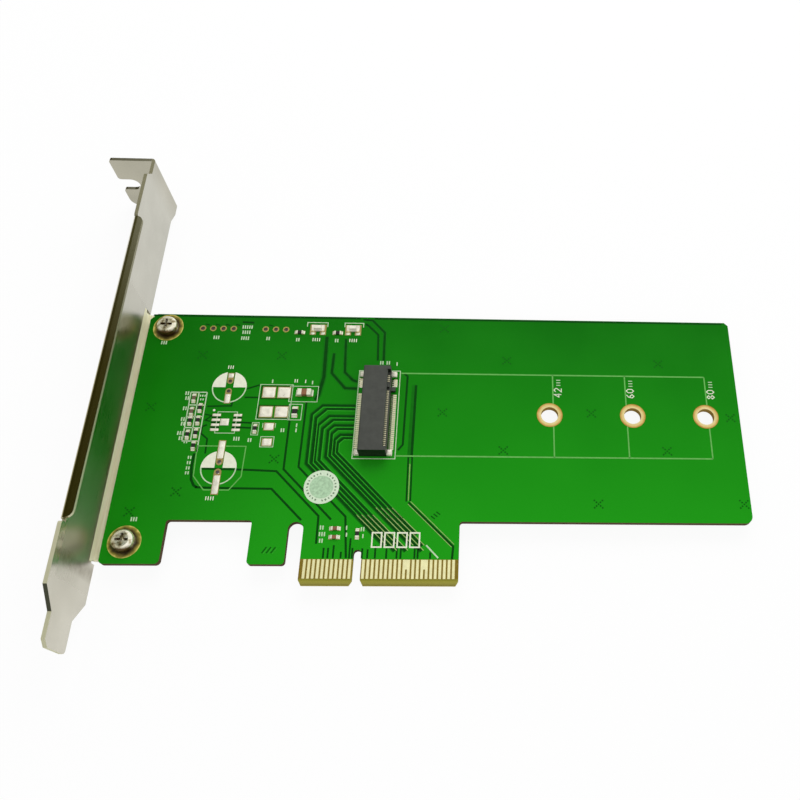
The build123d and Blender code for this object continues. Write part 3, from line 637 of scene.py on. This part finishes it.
class Print(Piece):
    """Thin shapes lying on one plane."""

    RING_STEP = 7.5

    def __init__(self, name, finish, slot, top, bottom=0.0):
        super().__init__(name, finish, slot)
        self.top = top
        self.bottom = bottom

    def shape(self, points):
        self.prism(points, self.bottom, self.top)

    def rect(self, x0, y0, x1, y1):
        self.shape([(x0, y0), (x1, y0), (x1, y1), (x0, y1)])

    def line(self, points, width, closed=False):
        """A line of even width with mitred corners."""
        path = [Vector(p) for p in points]
        count = len(path)
        sides = []
        for i, point in enumerate(path):
            before = path[i - 1] if i or closed else None
            after = path[(i + 1) % count] if i < count - 1 or closed else None
            ways = [(point - before).normalized()] if before is not None else []
            ways += [(after - point).normalized()] if after is not None else []
            way = sum(ways, Vector((0, 0))).normalized()
            across = Vector((-way.y, way.x))
            reach = width / 2 / max(0.35, abs(way.dot(ways[0])))
            sides.append((point + across * reach, point - across * reach))
        last = count if closed else count - 1
        for i in range(last):
            (a, b), (c, d) = sides[i], sides[(i + 1) % count]
            self.shape([tuple(a), tuple(b), tuple(d), tuple(c)])

    def frame(self, x0, y0, x1, y1, width=0.15):
        self.line([(x0, y0), (x1, y0), (x1, y1), (x0, y1)], width, closed=True)

    def ring(self, x, y, outer, inner, start=0, end=360):
        count = round((end - start) / self.RING_STEP)
        turns = [start + (end - start) * i / count for i in range(count + 1)]
        for a, b in zip(turns, turns[1:]):
            self.shape(on_circle(x, y, outer, (a, b)) + on_circle(x, y, inner, (b, a)))

    def disc(self, x, y, r, step=10):
        count = round(360 / step)
        self.shape(on_circle(x, y, r, [360 * i / count for i in range(count)]))


def solder_skin(piece, x0, y0, x1, y1, base=LAND_TOP, rise=0.14, cell=0.22):
    """A low uneven pillow of solder over a land."""
    across, along = max(4, round((x1 - x0) / cell)), max(4, round((y1 - y0) / cell))
    rows = []
    for i in range(across + 1):
        u = i / across
        row = []
        for j in range(along + 1):
            v = j / along
            crown = min(1.0, 5 * u, 5 * (1 - u)) ** 0.5 * min(1.0, 5 * v, 5 * (1 - v)) ** 0.5
            x, y = x0 + (x1 - x0) * u, y0 + (y1 - y0) * v
            sway = 0.7 + 0.3 * math.sin(2.1 * x + 1.3 * y) * math.cos(1.7 * y - 0.6 * x)
            row.append(piece.corner(x, y, base + rise * crown * sway))
        rows.append(row)
    for a, b in zip(rows, rows[1:]):
        for j in range(along):
            piece.mesh.faces.new((a[j], b[j], b[j + 1], a[j + 1]))


# The ends of a chip: the cap's thickness, and how far the solder and the land reach past it
CAP_SKIN = 0.03
FILLET_REACH = 0.45
FILLET_RISE = 0.62
FILLET_STEPS = 5
LAND_MARGIN = 0.12
CAP_SHARE = 0.2
WIDE_CAP_SHARE = 0.31


def chip_ends(name, caps, solder, lands, cap_share):
    """Tinned end caps, solder fillets and lands of a two-ended chip."""
    low, high = node_box(name)
    along_x = high.x - low.x > high.y - low.y

    def turned(a, b):
        return (a, b) if along_x else (b, a)

    a0, a1 = (low.x, high.x) if along_x else (low.y, high.y)
    b0, b1 = (low.y, high.y) if along_x else (low.x, high.x)
    cap = (a1 - a0) * cap_share
    for end, way in ((a0, -1), (a1, 1)):
        inner, outer = end - way * cap, end + way * CAP_SKIN
        near, far = sorted((inner, outer))
        caps.block((*turned(near, b0 - CAP_SKIN), low.z), (*turned(far, b1 + CAP_SKIN), high.z + CAP_SKIN))
        shape = []
        for i in range(FILLET_STEPS + 1):
            t = i / FILLET_STEPS
            shape.append((outer + way * FILLET_REACH * t, LAND_TOP + (high.z * FILLET_RISE) * (1 - t) ** 2))
        for (p, h), (q, k) in zip(shape, shape[1:]):
            solder.face([(*turned(p, b0), h), (*turned(q, b0), k), (*turned(q, b1), k), (*turned(p, b1), h)])
        for side in (b0, b1):
            rim = [(*turned(p, side), h) for p, h in shape]
            solder.face(rim + [(*turned(outer, side), 0.0)])
        tip = outer + way * FILLET_REACH
        x0, y0 = turned(min(inner, tip), b0 - LAND_MARGIN)
        x1, y1 = turned(max(inner, tip), b1 + LAND_MARGIN)
        lands.rect(x0, y0, x1, y1)


CHIP_NAMES = ("filter_capacitor", "divider_resistor", "sense_resistor", "lane_", "input_", "led_resistor")


def all_chip_ends():
    caps = Piece("chip_end_caps", "tin", "tinned")
    solder = Piece("chip_solder", "tin", "tinned")
    lands = Print("chip_lands", "land_gold", "tinned", LAND_TOP)
    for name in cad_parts:
        if name.startswith(CHIP_NAMES):
            cap_share = WIDE_CAP_SHARE if name == "input_capacitor" else CAP_SHARE
            chip_ends(name, caps, solder, lands, cap_share)
    caps.done()
    solder.done(smooth=True)
    lands.done()


def led_ends():
    """Plated terminals at both ends of each lamp, with solder in front of them."""
    plates = Piece("led_terminals", "ring_gold", "gold_ring")
    solder = Piece("led_solder", "tin", "tinned")
    lands = Print("led_lands", "land_gold", "tinned", LAND_TOP)
    for name in ("led_1", "led_2"):
        low, high = node_box(name)
        for x0, x1 in ((low.x - 0.05, low.x + 0.75), (high.x - 0.75, high.x + 0.05)):
            plates.block((x0, low.y - 0.25, 0.0), (x1, low.y + 0.35, 0.42))
            solder_skin(solder, x0 - 0.1, low.y - 0.95, x1 + 0.1, low.y - 0.2)
            lands.rect(x0 - 0.35, low.y - 1.05, x1 + 0.35, high.y + 0.3)
    plates.done()
    solder.done(smooth=True)
    lands.done()


# Places on the board's face: X from the key, Y from the lower edge of the fingers

CAN_UPPER_XY = (-34.2, 47.75)
CAN_LOWER_XY = (-33.7, 27.0)
CAN_R = 4.15
CAN_LINE_W = 0.28
CAN_BAND = 0.95
CAN_STEPS = 10
SHIELD = [(-39.4, 32.4), (-28.1, 32.4), (-28.2, 24.9), (-30.6, 21.6), (-36.3, 21.6), (-39.1, 24.9)]
STANDOFF_LINES = {"42": 44.7, "60": 62.7, "80": 82.8}
MODULE_LOW_Y = 30.35
MODULE_HIGH_Y = 52.15
MODULE_FROM_X = 7.2
SOCKET_SILK = (-3.1, 29.6, 6.95, 52.75)
JUMPER_PADS = ((-22.65, 46.5), (-22.75, 41.35))
JUMPER_LAND_X = 1.825
REGULATOR_Y = 38.45
LEAD_PITCH = 1.27
HEADER_PITCH = 2.54
TOP_EDGE_Y = 67.62

# Strokes of the numerals that are used, on a grid two wide and four high
NUMERALS = {
    "0": [[(0, 1), (0, 3), (1, 4), (2, 3), (2, 1), (1, 0), (0, 1)]],
    "2": [[(0, 3), (1, 4), (2, 3), (2, 2.4), (0, 0), (2, 0)]],
    "4": [[(1.5, 0), (1.5, 4), (0, 1.4), (2, 1.4)]],
    "6": [[(1.8, 4), (0.4, 2.9), (0, 1), (1, 0), (2, 1), (1, 2.2), (0.1, 1.5)]],
    "8": [[(1, 2.1), (0, 1.1), (1, 0), (2, 1.1), (1, 2.1), (0.1, 3.1), (1, 4), (1.9, 3.1), (1, 2.1)]],
}
NUMERAL_UNIT = 0.46
NUMERAL_PITCH = 3.1
NUMERAL_LINE_W = 0.2

# Groups of short dashes, as X, Y and how many: white ones, thin ones, and small ones by the chip grid
TALLY_PITCH = 0.55
WHITE_TALLIES = (
    (-34.6, 53.2, 3), (-34.6, 19.6, 4), (-14.6, 61.3, 4), (-5.4, 61.2, 4), (-18.3, 49.7, 2),
    (-16.0, 49.6, 1),
)
THIN_TALLIES = (
    (-39.4, 61.5, 3), (-26.6, 61.4, 2), (-19.2, 61.2, 2), (-9.5, 61.1, 2), (-52.0, 59.8, 3),
    (-50.6, 14.6, 3), (-32.1, 64.6, 5), (-32.2, 63.1, 4), (-32.3, 61.4, 4), (-44.0, 46.0, 2),
    (-43.8, 44.7, 2), (-43.9, 42.0, 2), (-43.9, 39.2, 2), (-43.7, 38.0, 2), (-43.9, 35.6, 3),
    (-43.6, 34.3, 2), (-24.0, 49.5, 1), (-14.3, 49.3, 1), (-16.9, 37.9, 1), (-16.9, 36.6, 1),
    (-20.1, 36.6, 2), (-27.5, 34.0, 2), (-8.5, 12.9, 2), (-8.3, 11.4, 3), (-8.4, 9.9, 2),
    (-2.9, 12.9, 1), (-2.8, 11.3, 1), (0.7, 12.6, 2), (0.9, 11.0, 1), (-30.6, 34.3, 3),
    (2.2, 55.0, 2), (3.8, 55.0, 2), (6.0, 54.7, 1),
)
SMALL_TALLIES = ((-40.2, 45.4, 3), (-40.25, 44.4, 2), (-42.2, 39.6, 3), (-40.2, 36.7, 2), (-42.3, 33.3, 2))
COLUMN_TALLIES = [(-40.7, y, 2) for y in (29.5, 28.2, 26.9, 25.7)]


def number(printed, text, x, y):
    """A number that reads up the board, its foot towards positive X."""
    for place, digit in enumerate(text):
        shift = place * NUMERAL_PITCH
        for stroke in NUMERALS[digit]:
            points = [(x - v * NUMERAL_UNIT, y + (u + shift) * NUMERAL_UNIT) for u, v in stroke]
            printed.line(points, NUMERAL_LINE_W)


def tallies(printed, places, height, width):
    """A few short dashes at each place where a part's number would stand."""
    for x, y, count in places:
        for i in range(count):
            left = x + (i - (count - 1) / 2) * TALLY_PITCH
            printed.line([(left, y - height / 2), (left, y + height / 2)], width)


def can_print(printed, boxes):
    """Round outlines of the two cans: a line round the lower half, two filled parts in the upper one."""
    turn = math.degrees(math.acos(CAN_BAND / CAN_R))
    for x, y in (CAN_UPPER_XY, CAN_LOWER_XY):
        boxes.ring(x, y, CAN_R, CAN_R - CAN_LINE_W, 180, 360)
        for start, end, inner in ((0, turn, x + CAN_BAND), (180 - turn, 180, x - CAN_BAND)):
            steps = [start + (end - start) * i / CAN_STEPS for i in range(CAN_STEPS + 1)]
            printed.shape(on_circle(x, y, CAN_R, steps) + [(inner, y)])


def module_print(printed, boxes, faint):
    """The outline of a module, with a numbered line and three dashes at each standoff hole."""
    for y in (MODULE_HIGH_Y, MODULE_LOW_Y):
        faint.line([(MODULE_FROM_X, y), (STANDOFF_LINES["80"], y)], 0.34)
    for text, x in STANDOFF_LINES.items():
        ring_low, ring_high = node_box("standoff_rings_" + text)
        middle = (ring_low + ring_high) / 2
        reach = math.sqrt(((ring_high.y - ring_low.y) / 2) ** 2 - (x - middle.x) ** 2)
        faint.line([(x, MODULE_LOW_Y), (x, middle.y - reach)], 0.32)
        faint.line([(x, middle.y + reach), (x, MODULE_HIGH_Y)], 0.32)
        number(printed, text, x + 2.1, 46.2)
        for y in (49.4, 50.1, 50.8):
            boxes.line([(x + 0.9, y), (x + 1.9, y)], 0.2)


def outline_print(printed, boxes):
    """Frames and brackets round the socket, the chips and the lands, and four empty boxes at the fingers."""
    boxes.frame(*SOCKET_SILK, 0.2)
    printed.shape([(-1.6, 53.3), (-0.4, 53.3), (-1.0, 54.3)])
    boxes.line([(0.4, 53.7), (4.0, 53.7)], 0.2)
    for i in range(4):
        left = 3.0 + i * 2.85
        printed.frame(left, 8.5, left + 2.1, 11.8, 0.34)
    boxes.frame(-26.75, 39.4, -18.9, 48.6)
    boxes.frame(-19.5, 44.1, -12.7, 48.25)
    boxes.frame(-19.2, 39.3, -16.1, 43.4)
    for x in (-24.9, -21.9):
        boxes.line([(x, 38.4), (x, 37.2)], 0.15)
    boxes.frame(-24.95, 32.3, -21.85, 34.9)
    for x0, x1 in ((-17.2, -12.1), (-7.8, -3.1)):
        boxes.line([(x0, 65.0), (x0, 66.2), (x1, 66.2), (x1, 65.0)], 0.2)
    boxes.frame(-27.4, 35.3, -25.8, 38.5, 0.12)
    boxes.line([(-35.9, 41.2), (-31.3, 41.2), (-31.3, 35.7), (-35.9, 35.7)], 0.15, closed=True)
    printed.disc(-36.9, 41.6, 0.28)


def chip_grid_print(boxes):
    """The grid of boxes round the cluster of chips at the left."""
    for x, y0, y1 in ((-43.15, 33.6, 46.3), (-41.2, 33.6, 46.3), (-39.3, 30.9, 46.3)):
        boxes.line([(x, y0), (x, y1)], 0.26)
    for y in (33.6, 37.0, 39.9, 42.9, 46.3):
        boxes.line([(-43.15, y), (-39.3, y)], 0.26)


def silk_print():
    """White print, in three strengths of ink."""
    printed = Print("silk_print", "silk", "label", SILK_TOP)
    boxes = Print("silk_boxes", "silk_thin", "label", SILK_TOP)
    faint = Print("silk_lines", "silk_faint", "label", SILK_TOP)
    can_print(printed, boxes)
    faint.line(SHIELD, 0.25, closed=True)
    module_print(printed, boxes, faint)
    outline_print(printed, boxes)
    chip_grid_print(boxes)
    boxes.line([(15.2, 9.0), (18.0, 6.1)], 0.34)
    tallies(printed, WHITE_TALLIES, 0.9, 0.22)
    tallies(boxes, THIN_TALLIES, 0.95, 0.3)
    tallies(boxes, SMALL_TALLIES, 0.5, 0.26)
    tallies(boxes, COLUMN_TALLIES, 0.75, 0.28)
    for layer in (printed, boxes, faint):
        layer.done()


# Tracks that end at the socket's upper side
TRACK_OVER_TOP = [(-3.3, 67.3), (-0.9, 67.1), (2.4, 63.6), (2.6, 55.6)]
TRACK_LEFT = [(-12.0, 62.2), (-11.7, 51.0), (-12.5, 46.0), (-13.2, 44.6)]
TRACK_MIDDLE = [(-9.8, 57.5), (-9.9, 52.0), (-6.3, 47.9), (-3.4, 47.8)]
TRACK_RIGHT = [(-7.2, 61.6), (-6.7, 52.3), (-4.6, 50.1), (-3.4, 49.7)]

# Dark lines beside the tracks, as points and width
TRACK_LINES = (
    (TRACK_OVER_TOP, 0.55),
    ([(-2.6, 66.0), (-1.9, 65.6), (0.8, 62.9), (1.15, 55.6)], 0.55),
    (TRACK_LEFT, 0.8),
    (TRACK_MIDDLE, 0.6),
    (TRACK_RIGHT, 0.55),
    ([(7.8, 52.3), (8.8, 51.3), (8.6, 33.2), (7.5, 31.8)], 0.5),
    ([(11.0, 49.0), (10.85, 30.0)], 0.6),
    ([(10.1, 30.0), (10.2, 19.2)], 0.4),
    ([(11.0, 30.0), (11.1, 19.3)], 0.4),
    ([(10.7, 19.0), (21.3, 8.7), (21.1, 5.8)], 0.5),
    ([(-37.4, 26.75), (-28.0, 26.6), (-20.3, 26.3), (-9.5, 15.6), (-9.4, 9.2)], 0.5),
    ([(-39.8, 30.5), (-39.9, 27.3), (-39.5, 24.1), (-38.7, 22.7), (-37.9, 22.2)], 0.6),
    ([(-38.2, 22.2), (-29.7, 22.05), (-20.9, 22.0), (-13.3, 14.6)], 0.5),
    ([(-18.7, 39.1), (-18.7, 26.8), (-6.6, 14.8)], 0.5),
    ([(-15.2, 44.0), (-15.3, 27.4), (-3.4, 15.5), (-2.5, 6.0)], 0.5),
)
SHADE_LINES = ((TRACK_LEFT, 1.5), (TRACK_MIDDLE, 1.1), (TRACK_RIGHT, 1.1), (TRACK_OVER_TOP, 1.0))

# The eight lanes from the socket to the fingers: the Y where a lane leaves the socket, the X where it
# turns down, the sum of X and Y on its slanting stretch, and the Y where it ends
LANES = (
    (-13.6, 43.2, 14.6, 8.8), (-12.5, 42.3, 15.8, 7.6), (-11.8, 40.4, 17.1, 8.8), (-10.7, 39.5, 18.3, 7.6),
    (-9.3, 38.0, 20.6, 8.8), (-8.4, 37.1, 21.8, 7.6), (-7.6, 35.6, 23.1, 8.8), (-6.8, 34.8, 24.3, 11.4),
)
LANE_FROM_X = -3.3
LANE_W = 0.56
LANE_SHADE_W = 1.05
LANE_SIDE = 0.48

# Short dark lines: those over the fingers, as X and the Y of the top, and others, as points and width
STUB_FROM_Y = 5.9
STUBS = (
    (3.9, 8.9), (8.7, 8.5), (9.6, 8.3), (12.7, 8.6), (13.4, 8.2), (-7.6, 8.3), (-6.6, 8.3), (-5.4, 8.9),
    (-3.7, 7.4), (-1.8, 10.5), (-1.2, 8.3), (1.0, 8.2), (2.2, 8.0), (6.4, 8.2), (16.2, 7.4),
)
SHORT_LINES = (
    ([(-38.7, 42.6), (-33.0, 42.8), (-32.9, 43.9)], 0.4),
    ([(-30.2, 45.1), (-26.8, 45.1)], 0.4),
    ([(-29.9, 47.4), (-26.9, 48.5)], 0.4),
    ([(-38.0, 37.8), (-39.1, 37.3), (-39.0, 35.5), (-37.4, 34.2), (-37.3, 30.5)], 0.4),
)
HEADER_TICKS_X = (-43.15, -40.6, -38.1, -35.55, -27.35)

# Middles of the groups of small dark dots
DOT_GROUPS = (
    (-42.0, 56.5), (-22.6, 56.6), (-52.0, 42.3), (-42.4, 21.1), (17.4, 65.0), (33.3, 56.1), (71.5, 55.7),
    (17.7, 41.7), (54.0, 41.9), (32.5, 32.0), (71.9, 32.2), (54.7, 18.9), (89.0, 19.1), (88.3, 41.1),
    (-52.0, 16.3), (-21.2, 29.3),
)
DOT_R = 0.22
DOT_PITCH = (0.47, 0.44)


def lane_lines(dark, shade, light, pale):
    """The lanes, with a darker band under each, a lighter line beside it and a painted highlight along its
    lower end.
    """
    for i, (x, y, cross, low) in enumerate(LANES):
        outer = i < len(LANES) / 2
        turn = 2.4 if outer else 1.3
        points = [(LANE_FROM_X, y), (x + turn, y), (x, y - turn), (x, cross - x), (cross - low, low)]
        dark.line(points, LANE_W)
        shade.line(points, LANE_SHADE_W)
        side = LANE_SIDE
        beside = [(LANE_FROM_X, y - side), (x + turn + 0.2, y - side), (x + side, y - turn - 0.2),
                  (x + side, cross - x + 0.2), (cross - 15 + side, 15.2)]
        light.line(beside, 0.2)
        # A painted highlight along the lower end of each lane
        start = 16.0 if outer else 17.7
        pale.line([(cross - start + side, start), (cross - low + side, low + 0.2)], 0.18)


def small_lines(dark):
    """Dark lines at the regulator, the wide lands, the upper edge and the headers."""
    for points, width in SHORT_LINES:
        dark.line(points, width)
    for y in (38.5, 37.2):
        dark.line([(-30.0, y), (-27.6, y - 0.1)], 0.45)
    for side in (-37.2, -32.1):
        for i in (-1, 0, 1):
            y = REGULATOR_Y + i * LEAD_PITCH
            dark.line([(side, y), (side + 2.1, y)], 0.5)
    dark.line([(-38.9, 40.5), (-37.2, 40.2), (-38.6, 39.0), (-37.4, 38.7)], 0.35)
    for x, y in JUMPER_PADS:
        dark.frame(x - 3.65, y - 1.7, x + 3.65, y + 1.7, 0.26)
    for x0, x1 in ((-55.9, -4.0), (-0.6, 89.0)):
        dark.line([(x0, TOP_EDGE_Y), (x1, TOP_EDGE_Y)], 0.5)
    for x in HEADER_TICKS_X:
        dark.line([(x + 0.5, 65.3), (x + 1.6, 65.0)], 0.3)
    dark.line([(-33.5, 66.0), (-30.6, 65.9)], 0.5)


def dot_groups(dots):
    """Nine small dots in a cross at each of some places."""
    across, up = DOT_PITCH
    for x, y in DOT_GROUPS:
        for i in range(-2, 3):
            for way in (-1, 1):
                if i or way > 0:
                    dots.disc(x + i * across, y + way * i * up, DOT_R, step=45)


def mask_lines():
    """Where the copper below stops or starts, the mask over it shows a darker or a lighter line. The pale
    lines along some tracks are painted highlights.
    """
    dark = Print("mask_gaps", "gap", "laminate", GAP_TOP)
    light = Print("mask_tracks", "trace", "laminate", TRACE_TOP)
    pale = Print("mask_highlights", "track_highlight", "laminate", TRACE_TOP)
    vias = Print("mask_vias", "via", "laminate", GAP_TOP)
    shade = Print("mask_shade", "shade", "laminate", SHADE_TOP)
    for points, width in TRACK_LINES:
        dark.line(points, width)
    shade.line([(10.45, 49.0), (10.25, 30.0)], 0.9)
    # Painted highlights along the edges of some tracks
    pale.line([(10.55, 28.4), (10.65, 19.4)], 0.16)
    for shift in (-0.3, 0.3):
        pale.line([(10.9 + shift, 18.9 + shift), (21.2 + shift, 8.9 + shift)], 0.14)
    lane_lines(dark, shade, light, pale)
    for x, y in STUBS:
        dark.line([(x, STUB_FROM_Y), (x, y)], 0.42)
    small_lines(dark)
    for i in range(3):
        vias.line([(16.0 + i * 0.6, 15.8 + i * 0.5), (16.9 + i * 0.6, 15.1 + i * 0.5)], 0.3)
        vias.line([(-21.2 + i, 7.0), (-20.3 + i, 8.4)], 0.3)
        light.line([(-20.85 + i, 6.8), (-20.0 + i, 8.1)], 0.24)
    dot_groups(vias)
    for points, width in SHADE_LINES:
        shade.line(points, width)
    for layer in (shade, vias, dark, light, pale):
        layer.done()


def header_rings():
    """Bright gold rings round the header holes."""
    rings = Print("header_gold", "ring_olive", "gold_ring", LAND_TOP + 0.03, LAND_TOP)
    for name, count in (("header_row_of_four", 4), ("header_row_of_three", 3)):
        low, high = node_box(name)
        for i in range(count):
            rings.ring(low.x + 0.8 + i * HEADER_PITCH, (low.y + high.y) / 2, 0.76, 0.56)
    rings.done()


# The lands of the cans' leads: the middle, the half width, and two stretches from the middle's Y
CAN_LANDS = (
    (-34.2, 48.05, 0.6, ((2.3, 3.4), (-4.5, -2.2))),
    (-33.7, 27.2, 0.7, ((2.1, 6.45), (-6.55, -2.1))),
)
FOOT_SIZE = 1.3


def tinned_lands():
    """Solder left on the bare lands, and at the socket's feet."""
    solder = Piece("land_solder", "solder", "tinned")
    for x, y in JUMPER_PADS:
        for side in (-1, 1):
            middle = x + side * JUMPER_LAND_X
            solder_skin(solder, middle - 1.45, y - 1.32, middle + 1.45, y + 1.32)
    for y in (37.5, 33.5):
        solder_skin(solder, -24.45, y - 0.85, -22.35, y + 0.85)
    for side in (-1, 1):
        x = -33.6 + side * 2.5
        for i in range(4):
            y = REGULATOR_Y + (i - 1.5) * LEAD_PITCH
            solder_skin(solder, x - 0.95, y - 0.3, x + 0.95, y + 0.3, rise=0.1, cell=0.16)
    solder_skin(solder, -35.0, 37.7, -33.0, 39.4)
    for x, y, half, stretches in CAN_LANDS:
        for start, end in stretches:
            solder_skin(solder, x - half, y + start, x + half, y + end)
    low, high = node_box("socket_hold_down_tabs")
    for x in (low.x, high.x - FOOT_SIZE):
        for y in (low.y, high.y - FOOT_SIZE):
            solder_skin(solder, x, y, x + FOOT_SIZE, y + FOOT_SIZE, base=high.z * 0.9, rise=0.4)
    solder.done(smooth=True)


STICKER_FIELD_R = 2.75
STICKER_TICKS = 26
TICK_FROM_R = 3.05
TICK_REACH = 0.42
TICK_SLANT = 0.04


def sticker_print():
    """A plain green field on the sticker with a ring of ticks, left out at two opposite places."""
    low, high = node_box("label_sticker")
    x, y, top = (low.x + high.x) / 2, (low.y + high.y) / 2, high.z
    field = Print("sticker_field", "label_green", "label", top + 0.006, top)
    field.disc(x, y, STICKER_FIELD_R)
    field.done()
    ticks = Print("sticker_ticks", "label_grey", "label", top + 0.008, top)
    outer = TICK_FROM_R + TICK_REACH
    for i in range(STICKER_TICKS):
        if i % (STICKER_TICKS // 2) == 6:
            continue
        turn = math.radians(i * 360 / STICKER_TICKS)
        end = turn + TICK_SLANT
        start_xy = (x + TICK_FROM_R * math.cos(turn), y + TICK_FROM_R * math.sin(turn))
        end_xy = (x + outer * math.cos(end), y + outer * math.sin(end))
        ticks.line([start_xy, end_xy], 0.26 if i % 3 else 0.4)
    ticks.done()


# The lands of the socket's two rows: the row's node, the land's ends, and how many lie above the key
CONTACT_PITCH = 0.5
CONTACT_W = 0.25
LAND_HALF_W = 0.2
LANDS_BELOW_KEY = 29
LAND_ROWS = (
    ("socket_upper_contacts", -2.75, -1.52, 5),
    ("socket_lower_contacts", 5.2, 6.4, 4),
)


def socket_lands():
    """Lands under the socket's contact tails, none at the key."""
    lands = Print("socket_lands", "tin", "tinned", LAND_TOP * 0.4)
    for node, x0, x1, above_key in LAND_ROWS:
        low, high = node_box(node)
        count = round((high.y - low.y - CONTACT_W) / CONTACT_PITCH) + 1
        for i in range(count):
            if LANDS_BELOW_KEY <= i < count - above_key:
                continue
            y = low.y + CONTACT_W / 2 + i * CONTACT_PITCH
            lands.rect(x0, y - LAND_HALF_W, x1, y + LAND_HALF_W)
    lands.done()


# The camera at the photograph's place. The photograph is cut off centre, so the lens is shifted.

CAMERA_PLACE = (27.9228, -46.9306, 199.0482)
CAMERA_AXES = ((0.99897, -0.00718, 0.04471), (-0.01468, 0.88266, 0.46978), (-0.04283, -0.46996, 0.88165))
FOCAL_PX = 893.06
IMAGE_PX = 800
CENTRE_PX = (523.78, 350.13)
SENSOR_MM = 36.0


def make_camera():
    data = bpy.data.cameras.new("camera")
    data.sensor_width = SENSOR_MM
    data.lens = FOCAL_PX / IMAGE_PX * SENSOR_MM
    data.shift_x = (IMAGE_PX / 2 - CENTRE_PX[0]) / IMAGE_PX
    data.shift_y = (CENTRE_PX[1] - IMAGE_PX / 2) / IMAGE_PX
    data.clip_start = 0.01
    data.clip_end = 20.0
    camera = add_object("camera", data)
    turn = Matrix(list(zip(*CAMERA_AXES))).to_4x4()
    camera.matrix_world = Matrix.Translation(Vector(CAMERA_PLACE) * MM) @ turn
    bpy.context.scene.camera = camera


# Light: an even world, two soft lamps, and a darker left half for what shines

WORLD_LEVEL = 0.62
WHITE = (1, 1, 1, 1)
DIM = (0.082, 0.078, 0.028, 1)
HORIZON_STOPS = (
    (0.0, DIM), (0.3, DIM), (0.325, (0.17, 0.17, 0.1, 1)), (0.36, (0.9, 0.9, 0.88, 1)), (1.0, WHITE),
)
FLOOR_HALF = 3000
FLOOR_GLOW = 0.92
LAMP_TARGET = (10, 30, 0)


def make_world():
    """Even light all round and a white backdrop. What shines sees a dim side to the left."""
    world = bpy.data.worlds.new("studio")
    bpy.context.scene.world = world
    world.use_nodes = True
    world.node_tree.nodes.clear()
    nodes = Nodes(world.node_tree)

    def background(color, level=1.0):
        made = nodes.node("ShaderNodeBackground")
        nodes.fill(made.inputs["Color"], color)
        nodes.fill(made.inputs["Strength"], level)
        return made.outputs[0]

    way = nodes.node("ShaderNodeTexCoord").outputs["Generated"]
    side = nodes.span(nodes.split(way)["X"], -1.0, 1.0)
    shine = background(nodes.ramp(side, HORIZON_STOPS))
    path = nodes.node("ShaderNodeLightPath")
    lit = nodes.choice(path.outputs["Is Glossy Ray"], background(WHITE, WORLD_LEVEL), shine)
    seen = nodes.choice(path.outputs["Is Camera Ray"], lit, background(WHITE))
    nodes.link(seen, nodes.node("ShaderNodeOutputWorld").inputs[0])


def area_light(name, place, size, power):
    """A soft lamp at a place in millimetres, turned to the part."""
    data = bpy.data.lights.new(name, "AREA")
    data.shape = "RECTANGLE"
    data.size, data.size_y = size[0] * MM, size[1] * MM
    data.energy = power
    lamp = add_object(name, data)
    lamp.location = Vector(place) * MM
    lamp.rotation_mode = "QUATERNION"
    lamp.rotation_quaternion = (Vector(LAMP_TARGET) - Vector(place)).to_track_quat("-Z", "Y")
    lamp.visible_glossy = False


def floor_shader():
    """Matt white paper that looks near white to the camera and in what shines, and keeps its shadow."""
    shader = Shader("floor_paper", (0.9, 0.9, 0.9, 1), 0.9)
    tone = shader.mix(shader.noise(0.01, 2.0), (0.89, 0.89, 0.89, 1), (0.91, 0.91, 0.91, 1))
    shader.give("Base Color", tone)
    shader.set("Specular IOR Level", 0.0)
    glow = shader.node("ShaderNodeEmission")
    path = shader.node("ShaderNodeLightPath")
    seen = shader.math("MAXIMUM", path.outputs["Is Camera Ray"], path.outputs["Is Glossy Ray"])
    share = shader.math("MULTIPLY", seen, FLOOR_GLOW)
    surface = shader.choice(share, shader.main.outputs[0], glow.outputs[0])
    shader.link(surface, shader.tree.nodes["Material Output"].inputs["Surface"])
    return shader


def make_stage():
    """A wide floor under the part, and the lamps."""
    floor_z = CAD_BOX[0].z / MM
    corners = [(x * FLOOR_HALF, y * FLOOR_HALF, floor_z) for x, y in ((-1, -1), (1, -1), (1, 1), (-1, 1))]
    mesh = bpy.data.meshes.new("floor")
    mesh.from_pydata([Vector(c) * MM for c in corners], [], [(0, 1, 2, 3)])
    mesh.materials.append(floor_shader().material)
    floor = add_object("floor", mesh)
    area_light("key", (60, 420, 420), (500, 300), 1.5)
    area_light("fill", (300, -300, 500), (600, 600), 0.9)


dress_nodes()
silk_print()
mask_lines()
all_chip_ends()
led_ends()
header_rings()
tinned_lands()
sticker_print()
socket_lands()
make_camera()
make_world()
make_stage()

bpy.context.scene.view_settings.view_transform = "Standard"
